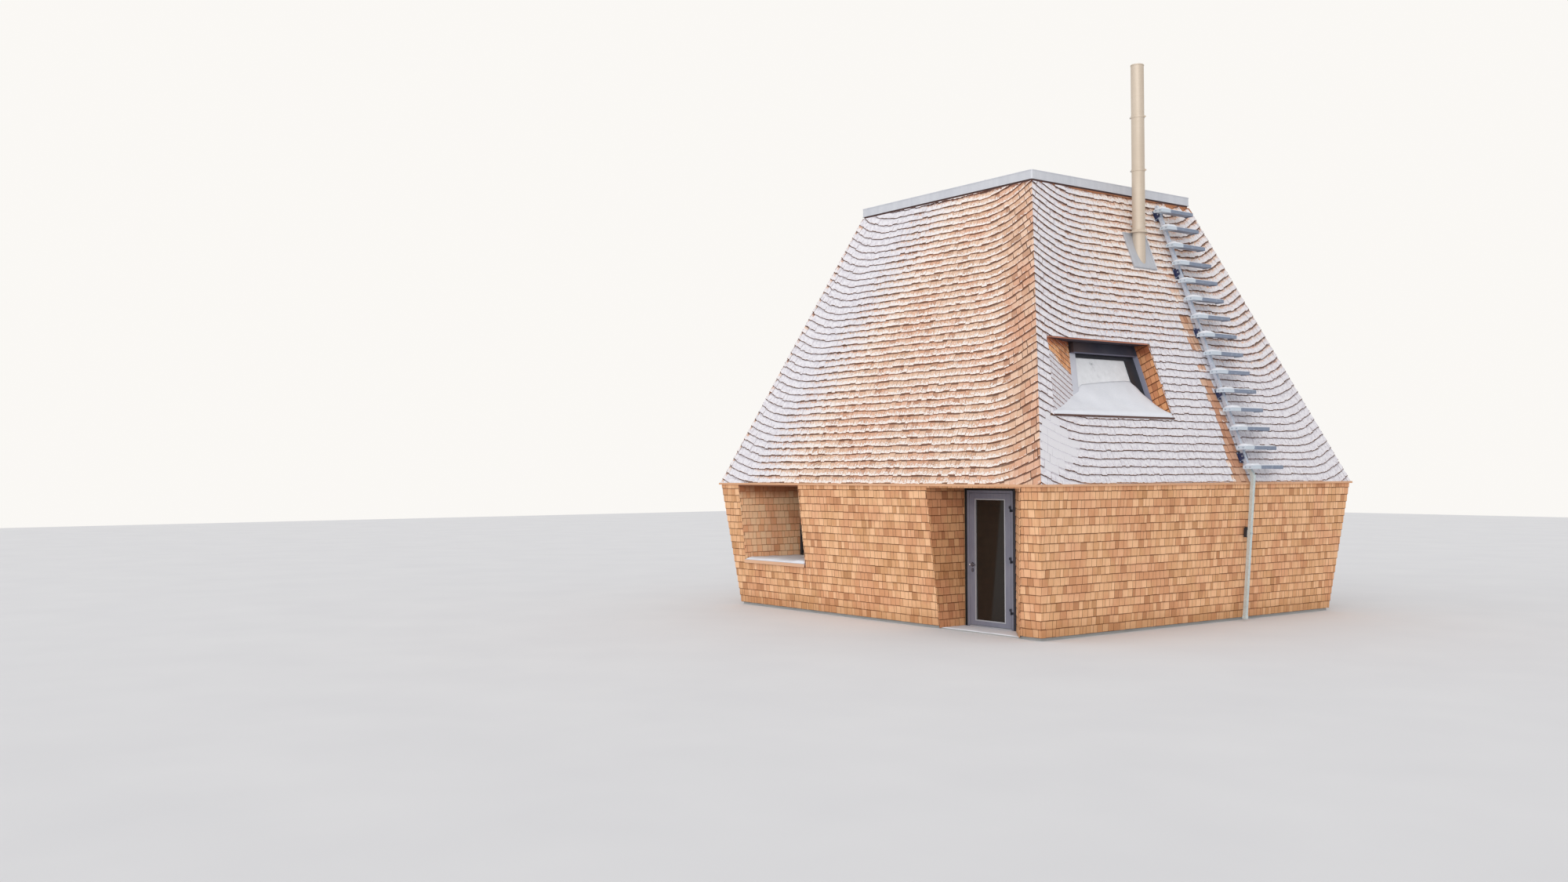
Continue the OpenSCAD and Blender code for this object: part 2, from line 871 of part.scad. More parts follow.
// Roof ladder
module on_slope(s, h) {
  translate([roof_x0 - roof_k * h, -hy + s, eave_z + h]) children();
}

module ladder_spine() {
  top = tread_first + (tread_n - 1) * tread_pitch + spine_low;
  span = (top - spine_low) / sin(roof_a);
  step = (top - bracket_low - bracket_high) / (spine_bracket_n - 1);
  color(metal_c) {
    on_slope(ladder_s, spine_low) translate([spine_x / sin(roof_a), 0, 0]) rotate([0, roof_a - 90, 0])
      translate([-spine_w / 2, -spine_w / 2, 0]) cube([spine_w, spine_w, span]);
    for (i = [0 : spine_bracket_n - 1]) {
      on_slope(ladder_s, bracket_low + i * step) rotate([0, roof_a - 90, 0])
        translate([bed, -bracket_w / 2, -bracket_h / 2]) cube([spine_gap, bracket_w, bracket_h]);
    }
  }
}

module ladder_treads() {
  x0 = (spine_gap + spine_w) / sin(roof_a) + bed;
  color(metal_c) for (i = [0 : tread_n - 1]) {
    on_slope(ladder_s, tread_first + i * tread_pitch) translate([x0, -tread_short, 0])
      cube([tread_d, tread_l, tread_t]);
  }
}

module ladder_mast() {
  w = mast_w / 2;
  color(metal_c) translate([mast_foot_x, -hy + ladder_s, mast_foot_z]) rotate([0, mast_a, 0]) {
    translate([-w, -w, 0]) cube([mast_w, mast_w, mast_l]);
    translate([-w - clamp_reach, -w - clamp_t, mast_clamp_z]) cube([mast_w + clamp_reach, mast_w + 2 * clamp_t, clamp_h]);
  }
}

// Door frame and its parts
module door_frame() {
  h = door_head_z - step_t;
  f = door_frame_face;
  g = f + door_stop;
  color(slate_c) translate([door_x0, door_y, step_t]) difference() {
    cube([door_frame_w, door_frame_d, h]);
    translate([f, -over, -over]) cube([door_frame_w - 2 * f, leaf_t + leaf_gap + over, h - f + over]);
    translate([g, -over, -over]) cube([door_frame_w - 2 * g, door_frame_d + 2 * over, h - g + over]);
  }
}

module door_threshold() {
  f = door_frame_face;
  color(metal_c) translate([door_x0 + f, door_y, step_t])
    cube([door_frame_w - 2 * f, leaf_t + leaf_gap, threshold_h]);
}

module door_packers() {
  x0 = hx - door_jamb_far;
  x1 = hx - splay_in;
  y = door_y + door_frame_d - packer_d;
  color(dark_c) {
    translate([x0, y, step_t]) cube([door_x0 - x0, packer_d, soffit_z - step_t]);
    translate([door_x1, y, step_t]) cube([x1 - door_x1, packer_d, soffit_z - step_t]);
    translate([door_x0, y, door_head_z]) cube([door_frame_w, packer_d, soffit_z - door_head_z]);
  }
}

module hinge_pins() {
  color(metal_c) for (z = hinge_zs) {
    translate([hinge_x, hinge_y, z]) {
      cylinder(d = hinge_d, h = hinge_h / 2 - 1);
      cylinder(d = hinge_pin_d, h = hinge_h - 6);
      translate([0, hinge_out - hinge_flag_t, 4]) cube([hinge_flag_w, hinge_flag_t, hinge_h / 2 - 10]);
      translate([0, 0, 4]) cube([hinge_flag_t * 2, hinge_out, hinge_h / 2 - 10]);
    }
  }
}

// Door leaf and its parts
module door_leaf() {
  w = leaf_x1 - leaf_x0;
  h = leaf_z1 - leaf_z0;
  s = leaf_stile;
  color(slate_c) translate([leaf_x0, door_y, leaf_z0]) difference() {
    cube([w, leaf_t, h]);
    translate([s, -over, leaf_foot_rail])
      cube([w - 2 * s, leaf_t + 2 * over, h - leaf_foot_rail - leaf_top_rail]);
  }
}

module door_glass() {
  w = leaf_x1 - leaf_x0 - 2 * leaf_stile;
  h = leaf_z1 - leaf_z0 - leaf_foot_rail - leaf_top_rail;
  color(glass_c) translate([leaf_x0 + leaf_stile, door_y + (leaf_t - door_glass_t) / 2, leaf_z0 + leaf_foot_rail])
    cube([w, door_glass_t, h]);
}

module door_bead() {
  w = leaf_x1 - leaf_x0 - 2 * leaf_stile;
  h = leaf_z1 - leaf_z0 - leaf_foot_rail - leaf_top_rail;
  d = (leaf_t - door_glass_t) / 2;
  b = bead_w;
  color(metal_c) translate([leaf_x0 + leaf_stile, door_y - bead_out, leaf_z0 + leaf_foot_rail]) difference() {
    cube([w, d + bead_out, h]);
    translate([b, -over, b]) cube([w - 2 * b, d + bead_out + 2 * over, h - 2 * b]);
  }
}

module door_handle() {
  x = leaf_x0 + leaf_stile / 2;
  color(metal_c) {
    translate([x, door_y, handle_z]) rotate([90, 0, 0]) cylinder(d = rose_d, h = 9);
    translate([x, door_y, handle_z]) rotate([90, 0, 0]) cylinder(d = handle_d, h = handle_out);
    translate([x - handle_d / 2, door_y - handle_out, handle_z]) rotate([0, 90, 0])
      cylinder(d = handle_d, h = lever_l);
    translate([x, door_y, handle_z - lock_drop]) rotate([90, 0, 0]) cylinder(d = lock_d, h = 8);
    translate([x, door_y, handle_z - lock_drop]) rotate([90, 0, 0]) cylinder(d = lock_d / 2, h = 14);
  }
}

module hinge_knuckles() {
  color(metal_c) for (z = hinge_zs) {
    translate([hinge_x, hinge_y, z + hinge_h / 2]) difference() {
      union() {
        cylinder(d = hinge_d, h = hinge_h / 2);
        translate([-hinge_flag_w, hinge_out - hinge_flag_t, 5])
          cube([hinge_flag_w, hinge_flag_t, hinge_h / 2 - 10]);
        translate([-hinge_flag_t * 2, 0, 5]) cube([hinge_flag_t * 2, hinge_out, hinge_h / 2 - 10]);
      }
      translate([0, 0, -over]) cylinder(d = hinge_pin_d + 2 * hinge_clear, h = hinge_h / 2 - 4 + over);
    }
  }
}

foundation();
doorstep();
floor();
upper_floor();
front_wall();
window_apron_walls();
right_wall();
left_wall();
back_wall();
door_niche_walls();
door_niche_soffit();
window_niche_linings();
window_niche_sills();
window_niche_frames();
window_niche_glass();
eave_boards();
front_roof();
back_roof();
right_roof();
right_roof_middle();
left_roof();
left_roof_middle();
roof_deck();
roof_cap();
roof_window_cheeks();
roof_window_sills();
roof_window_frames();
roof_window_glass();
roof_window_heads();
roof_window_trims();
flue();
flue_flashing();
ladder_spine();
ladder_treads();
ladder_mast();
door_frame();
door_threshold();
door_packers();
hinge_pins();
door_leaf();
door_glass();
door_bead();
door_handle();
hinge_knuckles();
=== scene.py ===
"""Looks of a shingle-clad hipped cabin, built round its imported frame."""

from __future__ import annotations

import logging
import math
import random
from dataclasses import dataclass, field
from enum import Enum
from typing import Callable, Sequence

import bmesh
import bpy
from mathutils import Matrix, Vector


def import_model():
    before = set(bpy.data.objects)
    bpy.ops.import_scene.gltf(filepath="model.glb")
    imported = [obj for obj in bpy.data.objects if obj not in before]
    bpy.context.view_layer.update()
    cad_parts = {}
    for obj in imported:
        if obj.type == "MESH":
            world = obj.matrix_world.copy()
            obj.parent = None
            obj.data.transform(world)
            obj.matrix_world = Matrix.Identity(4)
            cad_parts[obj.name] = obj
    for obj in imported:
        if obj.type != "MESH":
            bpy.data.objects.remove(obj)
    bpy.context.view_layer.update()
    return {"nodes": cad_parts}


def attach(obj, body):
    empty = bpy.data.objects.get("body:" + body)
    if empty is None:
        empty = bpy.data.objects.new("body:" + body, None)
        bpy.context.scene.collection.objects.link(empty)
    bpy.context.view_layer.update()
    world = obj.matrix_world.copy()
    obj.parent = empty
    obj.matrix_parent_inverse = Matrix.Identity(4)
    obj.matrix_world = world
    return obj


log = logging.getLogger("cabin")

Colour = tuple[float, float, float]
Point = tuple[float, float, float]
Pair = tuple[float, float]
Quad = tuple[float, float, float, float]
Field = Callable[[float, float], float]
Settings = dict[str, object]
Inputs = dict[int | str, object]
Spots = list[tuple[Vector, Vector]]
Profile = Sequence[Pair]
Rule = Callable[[float, float], tuple[Vector, Vector]]

# Sizes repeated from the part's source, in metres. ROOF_K and WALL_K are runs per metre of height.
HALF_X = 4.30
HALF_Y = 4.20
EAVE_Z = 2.40
ROOF_TOP_Z = 7.59
ROOF_BACK = 0.04
ROOF_K = 2.026 / 5.19
WALL_FOOT = 0.34
WALL_K = 0.29 / 2.40
PLINTH_Z = 0.06
SOFFIT_Z = 2.34
STEP_Z = 0.018
DOOR_Y = -3.30
NICHE_SPAN = (-3.68, -1.76)
NICHE_SILL_Z = 0.905
NICHE_WINDOW_Y = -2.65
WINDOW_FOOT_Z = 3.50
WINDOW_HEAD_Z = 4.764
WINDOW_LEFT_X = -3.41
CHEEK_RUN = 0.97
CAP_TOP_Z = 7.78
CAP_HALF = (2.252, 2.152)

# Length along a slope per metre of height, and how far a hip closes in per metre of that length
SLANT = math.hypot(1, ROOF_K)
HIP_TAPER = 0.3636

# The sides of the building, in the order of quarter turns from the door side
SIDES = ("front", "right", "back", "left")

UP = Vector((0, 0, 1))


def srgb(red: int, green: int, blue: int) -> Colour:
    """Turn an 8-bit screen colour into the linear colour that a shader takes.

    Args:
        red: Red from 0 to 255.
        green: Green from 0 to 255.
        blue: Blue from 0 to 255.

    Returns:
        The linear colour.
    """
    def line(value: int) -> float:
        """Linearise one channel."""
        part = value / 255
        return part / 12.92 if part <= 0.04045 else ((part + 0.055) / 1.055) ** 2.4
    return line(red), line(green), line(blue)


class Sock:
    """A shader socket on which Python's operators add Math nodes."""

    def __init__(self, shader: Shader, socket: bpy.types.NodeSocket) -> None:
        """Keep the socket and the shader that it belongs to."""
        self.shader = shader
        self.socket = socket

    def __add__(self, other: Sock | float) -> Sock:
        """Add a value."""
        return self.shader.math("ADD", self, other)

    def __radd__(self, other: float) -> Sock:
        """Add to a number."""
        return self.shader.math("ADD", other, self)

    def __sub__(self, other: Sock | float) -> Sock:
        """Take a value away."""
        return self.shader.math("SUBTRACT", self, other)

    def __rsub__(self, other: float) -> Sock:
        """Take this value from a number."""
        return self.shader.math("SUBTRACT", other, self)

    def __mul__(self, other: Sock | float) -> Sock:
        """Multiply by a value."""
        return self.shader.math("MULTIPLY", self, other)

    def __rmul__(self, other: float) -> Sock:
        """Multiply a number."""
        return self.shader.math("MULTIPLY", other, self)

    def __truediv__(self, other: Sock | float) -> Sock:
        """Divide by a value."""
        return self.shader.math("DIVIDE", self, other)

    def __rtruediv__(self, other: float) -> Sock:
        """Divide a number by this value."""
        return self.shader.math("DIVIDE", other, self)


class NodeTree:
    """Fills one node tree."""

    def __init__(self, tree: bpy.types.NodeTree) -> None:
        """Empty the tree."""
        self.tree = tree
        tree.nodes.clear()

    def node(self, kind: str, settings: Settings | None = None,
             inputs: Inputs | None = None) -> bpy.types.Node:
        """Add a node of any type.

        Args:
            kind: The node's type name.
            settings: Its properties, set first.
            inputs: Values or links by socket name or number.

        Returns:
            The new node.
        """
        made = self.tree.nodes.new(kind)
        for key, value in (settings or {}).items():
            setattr(made, key, value)
        for key, value in (inputs or {}).items():
            self.feed(made.inputs[key], value)
        return made

    def feed(self, socket: bpy.types.NodeSocket, value: object) -> None:
        """Link or set one input socket."""
        if isinstance(value, Sock):
            value = value.socket
        if isinstance(value, bpy.types.NodeSocket):
            self.tree.links.new(value, socket)
        elif isinstance(value, tuple) and socket.type == "RGBA":
            socket.default_value = (*value[:3], 1.0)
        else:
            socket.default_value = value


class Shader(NodeTree):
    """Builds one material; place gives its object coordinates."""

    def __init__(self, name: str) -> None:
        """Start a material."""
        self.material = bpy.data.materials.new(name)
        self.material.use_nodes = True
        super().__init__(self.material.node_tree)
        self.place = self.sock("ShaderNodeTexCoord", out="Object")

    def sock(self, kind: str, settings: Settings | None = None, inputs: Inputs | None = None,
             out: int | str = 0) -> Sock:
        """Add a node and return one of its outputs."""
        return Sock(self, self.node(kind, settings, inputs).outputs[out])

    def math(self, operation: str, *values: Sock | float, clamp: bool = False) -> Sock:
        """Add one Math node."""
        settings = {"operation": operation, "use_clamp": clamp}
        return self.sock("ShaderNodeMath", settings, dict(enumerate(values)))

    def mix(self, factor: Sock | float, first: Sock | Colour, second: Sock | Colour) -> Sock:
        """Blend two colours."""
        inputs = {0: factor, 6: first, 7: second}
        return self.sock("ShaderNodeMix", {"data_type": "RGBA", "clamp_factor": True}, inputs, 2)

    def step(self, value: Sock, low: float, high: float) -> Sock:
        """Rise smoothly from 0 at low to 1 at high."""
        settings = {"interpolation_type": "SMOOTHSTEP"}
        return self.sock("ShaderNodeMapRange", settings, {0: value, 1: low, 2: high, 3: 0.0, 4: 1.0})

    def split(self, vector: Sock) -> tuple[Sock, Sock, Sock]:
        """Take a vector apart."""
        made = self.node("ShaderNodeSeparateXYZ", None, {0: vector})
        return tuple(Sock(self, made.outputs[i]) for i in range(3))

    def join(self, x: Sock | float, y: Sock | float, z: Sock | float) -> Sock:
        """Put a vector together."""
        return self.sock("ShaderNodeCombineXYZ", None, {0: x, 1: y, 2: z})

    def noise(self, vector: Sock, scale: float, detail: float = 2.0, rough: float = 0.5) -> Sock:
        """Soft noise from 0 to 1."""
        inputs = {"Vector": vector, "Scale": scale, "Detail": detail, "Roughness": rough}
        return self.sock("ShaderNodeTexNoise", None, inputs)

    def stretch(self, vector: Sock, scale: Point) -> Sock:
        """Scale a vector along each axis."""
        return self.sock("ShaderNodeVectorMath", {"operation": "MULTIPLY"}, {0: vector, 1: scale})

    def attribute(self, name: str, out: str = "Fac") -> Sock:
        """Read an attribute of the mesh."""
        return self.sock("ShaderNodeAttribute", {"attribute_name": name}, None, out)

    def bump(self, height: Sock, strength: float, distance: float) -> Sock:
        """Turn a height into a normal."""
        inputs = {"Strength": strength, "Distance": distance, "Height": height}
        return self.sock("ShaderNodeBump", None, inputs, "Normal")

    def surface(self, inputs: Inputs) -> bpy.types.Material:
        """End the tree in a Principled surface.

        Args:
            inputs: The surface's values or links by socket name.

        Returns:
            The finished material.
        """
        shade = self.node("ShaderNodeBsdfPrincipled", None, inputs)
        self.node("ShaderNodeOutputMaterial", None, {"Surface": shade.outputs[0]})
        return self.material


class Finish:
    """A finish that is built once and then shared."""

    made: dict[str, bpy.types.Material] = {}
    name: str

    def build(self, sh: Shader) -> bpy.types.Material:
        """Make the material."""
        raise NotImplementedError

    def material(self) -> bpy.types.Material:
        """Give the material, made on first use."""
        if self.name not in Finish.made:
            Finish.made[self.name] = self.build(Shader(self.name))
        return Finish.made[self.name]


@dataclass(frozen=True)
class ShingleFinish(Finish):
    """Sawn softwood shingles, with or without snow on them.

    A shingle's own attributes drive it: unit is the place on it, size its width, tone a random
    number, and snow how much lies there, where more than DRIFT is a smooth drift. Brown is both the
    colour of the brown shingles and the painted shade in the joints, under each butt and along each
    foot.
    """

    name: str
    pale: Colour
    warm: Colour
    brown: Colour
    exposure: float
    # Share of the exposure that the painted shade line along each foot takes
    line: float
    snowy: bool = False
    # Heights of a band that takes painted shade, and its colour; none by default
    stain_and_shade: Pair = (90.0, 91.0)
    painted_shade_colour: Colour = srgb(126, 58, 34)
    # Height of the eave, below which the painted shade line along the foot is weaker
    eave: float = 0.0
    damp: float = 0.0
    damp_colour: Colour = srgb(158, 110, 60)
    rosy: Colour = srgb(214, 142, 112)
    # Colour of the painted shade line along each foot on bare wood
    bare_shade_line: Colour = srgb(112, 66, 48)
    wet_pale: Colour = srgb(196, 134, 92)
    wet_dark: Colour = srgb(138, 84, 56)
    snow: Colour = srgb(230, 228, 233)
    dusting: Colour = srgb(242, 234, 229)
    # Colour of the painted shade in the hollows of thick snow
    hollow_shade: Colour = srgb(198, 193, 203)
    shade: Colour = srgb(150, 140, 145)
    drifted: Colour = srgb(196, 196, 200)
    roughness: float = 0.82

    def build(self, sh: Shader) -> bpy.types.Material:
        """Make the material."""
        return ShingleShading(self, sh).surface()


class ShingleShading:
    """The node tree of one shingle finish, from the wood's marks up to the snow."""

    DRIFT: Pair = (1.05, 1.3)

    def __init__(self, finish: ShingleFinish, sh: Shader) -> None:
        """Read the attributes and make the marks that the layers share."""
        self.finish = finish
        self.sh = sh
        across, along, _ = sh.split(sh.attribute("unit", "Vector"))
        width, _, _ = sh.split(sh.attribute("size", "Vector"))
        self.tone = sh.attribute("tone")
        self.level = along / finish.exposure
        metres = (across - 0.5) * width
        self.streak = sh.noise(sh.join(metres * 150.0, along * 9.0, self.tone * 61.0), 1.0, 3.0, 0.6)
        self.blotch = sh.noise(sh.join(metres * 16.0, along * 5.0, self.tone * 37.0), 1.0, 2.0)
        self.fine = sh.noise(sh.place, 60.0, 2.0)
        # Painted shade in the gaps along each shingle's sides
        self.edge = 1.0 - sh.step(width * 0.5 - sh.math("ABSOLUTE", metres), 0.0, 0.004)
        self.rise = sh.split(sh.place)[2]
        if finish.snowy:
            self.cover = sh.attribute("snow")
            self.ragged = sh.noise(sh.place, 17.0, 3.0, 0.6)
            self.heavy = sh.step(self.cover, 0.55, 0.9)
            self.drift = sh.step(self.cover, *self.DRIFT)

    def wood(self) -> Sock:
        """Colour of the wood: streaks, blotches, rosy and brown shingles, painted shade and damp foot."""
        sh, finish, tone = self.sh, self.finish, self.tone
        age = sh.noise(sh.place, 0.9, 2.0)
        mood = sh.math(
            "ADD", tone * 0.75 + self.streak * 0.6, self.blotch * 0.5 + age * 0.3 - 0.6, clamp=True)
        wood = sh.mix(mood, finish.pale, finish.warm)
        rosy = sh.step(sh.noise(sh.place, 1.7, 2.0) + tone * 0.16, 0.52, 0.70)
        wood = sh.mix(rosy * 0.30, wood, finish.rosy)
        wood = sh.mix(sh.step(tone, 0.84, 1.0) * 0.22, wood, finish.brown)
        wood = sh.mix(sh.step(self.streak, 0.60, 0.85) * 0.35, wood, finish.brown)
        # Painted shade: a band of darker wood just under a head, soffit or cap
        height = self.rise + (self.blotch - 0.5) * 0.12
        wood = sh.mix(sh.step(height, *finish.stain_and_shade) * 0.75, wood, finish.painted_shade_colour)
        low = 1.0 - sh.step(height + (age - 0.5) * 0.4, 0.04, 0.40)
        return sh.mix(low * finish.damp, wood, finish.damp_colour)

    def lined(self, wood: Sock) -> Sock:
        """Paint shade on the wood: in the gaps at its sides, under the next course's butt and in a line
        along its foot.
        """
        sh, finish = self.sh, self.finish
        near_line: Sock = self.level
        line: Sock | Colour = finish.brown
        # Under snow the painted shade line is ragged, and turns from the bare wood's shade colour to brown
        # where the snow is thick
        if finish.snowy:
            near_line = (self.level * (1.4 - self.heavy * 0.4)
                         + (self.ragged - 0.5) * (self.heavy * 0.22 + 0.05))
            line = sh.mix(sh.step(self.cover, 0.40, 0.85), finish.bare_shade_line, finish.brown)
        # Painted shade line along each butt, weaker on the lowest course at the eave
        foot = 1.0 - sh.step(near_line, finish.line * 0.6, finish.line)
        foot = foot * (sh.step(self.rise, finish.eave, finish.eave + 0.035) * 0.75 + 0.25)
        # Painted shade under the next course's butt and in the gaps at the shingle's sides
        under = sh.step(self.level, 0.88, 0.99)
        wood = sh.mix(sh.math("MAXIMUM", under * 0.7, self.edge * 0.7), wood, finish.brown)
        return sh.mix(foot * 0.92, wood, line)

    def wetted(self, wood: Sock) -> Sock:
        """Darken the wood where the snow has run off, which a negative cover marks."""
        sh, finish = self.sh, self.finish
        wet = 1.0 - sh.step(self.cover, -0.45, -0.02)
        return sh.mix(wet * 0.85, wood, sh.mix(self.streak, finish.wet_pale, finish.wet_dark))

    def snow_mask(self, wander: Sock) -> Sock:
        """Where snow hides the wood: from the head down, short of the foot and of open joints."""
        sh, level = self.sh, self.level
        keep = 1.0 - sh.step(self.cover, 0.85, 1.0)
        lie = self.cover * 0.805 + 0.105 - level * keep * 0.75 + (wander - 0.5) * 1.7 * (keep * 0.8 + 0.2)
        line = self.finish.line
        lip = sh.step(level + (self.ragged - 0.5) * 0.34, line * 0.7, line * 1.2)
        lip = sh.math("MAXIMUM", lip, self.drift)
        joint = self.edge * sh.step(self.ragged, 0.42, 0.58) * (1.0 - self.drift) * 0.6
        return sh.step(lie, 0.0, 0.28) * lip * (1.0 - joint)

    def snow_colour(self) -> Sock:
        """Colour of the snow: warm where thin, mottled with painted shade where thick, painted shade under
        each butt.
        """
        sh, finish = self.sh, self.finish
        shade = sh.step(self.level, 0.86, 1.0) * (1.0 - self.drift)
        snow = sh.mix(self.heavy, finish.dusting, finish.snow)
        # Painted shade in the hollows of thick snow
        mottle = sh.step(self.ragged, 0.40, 0.64) * (1.0 - self.drift) * self.heavy * 0.55
        snow = sh.mix(mottle, snow, finish.hollow_shade)
        snow = sh.mix(shade * (self.heavy * 0.25 + 0.10), snow, finish.shade)
        return sh.mix(self.drift * 0.25, snow, finish.drifted)

    def surface(self) -> bpy.types.Material:
        """Lay the layers over each other and end the tree."""
        sh, finish = self.sh, self.finish
        colour = self.lined(self.wood())
        rough: Sock | float = finish.roughness
        height = self.streak * 0.5 + self.fine * 0.2
        if finish.snowy:
            wander = sh.noise(sh.place, 34.0, 3.0, 0.65)
            mask = self.snow_mask(wander)
            colour = sh.mix(mask, self.wetted(colour), self.snow_colour())
            height = height * (1.0 - mask) + mask * (1.5 + wander * 0.8)
            rough = finish.roughness - mask * 0.15
        return sh.surface({
            "Base Color": colour,
            "Roughness": rough,
            "Normal": sh.bump(height, 0.35, 0.004),
            "Specular IOR Level": 0.25,
        })


class Grain(Enum):
    """Which way the boards of a timber surface run."""

    X = 0
    Y = 1
    Z = 2


@dataclass(frozen=True)
class TimberFinish(Finish):
    """Planed boards laid side by side, with painted shade below a given height where one is set."""

    name: str
    pale: Colour
    dark: Colour
    board: float
    grain: Grain
    roughness: float = 0.6
    # Height below which the boards take painted shade, and the colour of that shade
    painted_shade_z: float = -1.0
    stain_and_shade: Colour = srgb(54, 48, 60)

    def build(self, sh: Shader) -> bpy.types.Material:
        """Make the material."""
        parts = sh.split(sh.place)
        run = parts[self.grain.value]
        side, other = [part for i, part in enumerate(parts) if i != self.grain.value]
        count = side / self.board + 100.0
        row = sh.math("FLOOR", count)
        seat = sh.math("FRACT", count)
        joint = 1.0 - sh.step(sh.math("MINIMUM", seat, 1.0 - seat), 0.0, 0.003 / self.board)
        fibre = sh.noise(sh.join(run * 2.2, side * 55.0 + row * 7.3, other * 55.0), 1.0, 3.0, 0.6)
        tint = sh.noise(sh.join(row * 3.7, run * 0.15, 0.0), 1.0, 1.0)
        wood = sh.mix(fibre * 0.7 + tint * 0.6 - 0.25, self.pale, self.dark)
        wood = sh.mix(joint * 0.8, wood, tuple(c * 0.2 for c in self.dark))
        # Painted shade below the given height, as on the underside of a window head
        shaded_below = 1.0 - sh.step(parts[2], self.painted_shade_z + 0.001, self.painted_shade_z + 0.003)
        wood = sh.mix(shaded_below, wood, self.stain_and_shade)
        return sh.surface({
            "Base Color": wood,
            "Roughness": fibre * 0.15 + (self.roughness - 0.08),
            "Normal": sh.bump(fibre * 0.4 - joint * 1.2, 0.3, 0.004),
        })


@dataclass(frozen=True)
class PaintFinish(Finish):
    """A coated surface with slight dust and unevenness."""

    name: str
    colour: Colour
    dust: Colour
    roughness: float = 0.45
    amount: float = 0.25

    def build(self, sh: Shader) -> bpy.types.Material:
        """Make the material."""
        wide = sh.noise(sh.place, 2.4, 3.0)
        runs = sh.noise(sh.stretch(sh.place, (24.0, 24.0, 2.0)), 1.0, 3.0)
        peel = sh.noise(sh.place, 260.0, 1.0)
        film = sh.step(wide * 0.6 + runs * 0.4, 0.35, 0.75)
        return sh.surface({
            "Base Color": sh.mix(film * self.amount, self.colour, self.dust),
            "Roughness": film * 0.2 + self.roughness,
            "Normal": sh.bump(peel, 0.12, 0.0008),
        })


@dataclass(frozen=True)
class TrimFinish(Finish):
    """Coated trims of a roof window: a blind box painted dark with the shade under the head, with a pale lip
    over two paler strips.
    """

    name: str = "roof_window_trim"
    # Painted shade: the box dark under the head, warmer at the cheek's corner
    box: Colour = srgb(50, 50, 64)
    box_corner_shade: Colour = srgb(84, 62, 52)
    lip: Colour = srgb(108, 106, 124)
    near: Colour = srgb(206, 208, 218)
    far: Colour = srgb(150, 152, 172)
    dull: Colour = srgb(120, 122, 134)
    box_foot: float = 4.574
    lip_top: float = 4.596

    def build(self, sh: Shader) -> bpy.types.Material:
        """Make the material."""
        _, side, rise = sh.split(sh.place)
        side = sh.math("ABSOLUTE", side)
        wide = sh.noise(sh.place, 3.0, 3.0)
        fine = sh.noise(sh.place, 60.0, 2.0)
        strip = sh.mix(sh.step(side, 1.0, 1.1), self.far, self.near)
        # Painted shade on the box, warmer towards the cheek's corner
        box = sh.mix(sh.step(side + (wide - 0.5) * 0.9, 1.2, 2.2) * 0.8, self.box, self.box_corner_shade)
        colour = sh.mix(sh.step(rise, self.box_foot - 0.002, self.box_foot), strip, self.lip)
        colour = sh.mix(sh.step(rise, self.lip_top - 0.004, self.lip_top), colour, box)
        return sh.surface({
            "Base Color": sh.mix(wide * 0.3, colour, self.dull),
            "Roughness": fine * 0.15 + 0.35,
            "Normal": sh.bump(fine, 0.08, 0.001),
        })


@dataclass(frozen=True)
class TreadFinish(Finish):
    """Steel treads, thick with frost at the end that crosses the spine."""

    name: str = "frosted_treads"
    steel: Colour = srgb(112, 124, 148)
    worn: Colour = srgb(150, 160, 176)
    frost: Colour = srgb(196, 206, 216)
    split: float = 1.07

    def build(self, sh: Shader) -> bpy.types.Material:
        """Make the material."""
        _, side, _ = sh.split(sh.place)
        blotch = sh.noise(sh.place, 14.0, 3.0)
        fine = sh.noise(sh.place, 90.0, 2.0)
        rime = 1.0 - sh.step(side + (blotch - 0.5) * 0.12, self.split, self.split + 0.03)
        rime = sh.math("MAXIMUM", rime, sh.step(blotch * 0.6 + fine * 0.4, 0.58, 0.66) * 0.5)
        steel = sh.mix(fine * 0.6 + blotch * 0.5 - 0.2, self.steel, self.worn)
        return sh.surface({
            "Base Color": sh.mix(rime, steel, self.frost),
            "Metallic": (1.0 - rime) * 0.35,
            "Roughness": rime * 0.35 + 0.4,
            "Normal": sh.bump(blotch * rime + fine * 0.3, 0.3, 0.003),
        })


class Sheen(Enum):
    """The look of a metal surface."""

    BRUSHED = "brushed"
    SPANGLE = "spangle"
    SHEET = "sheet"


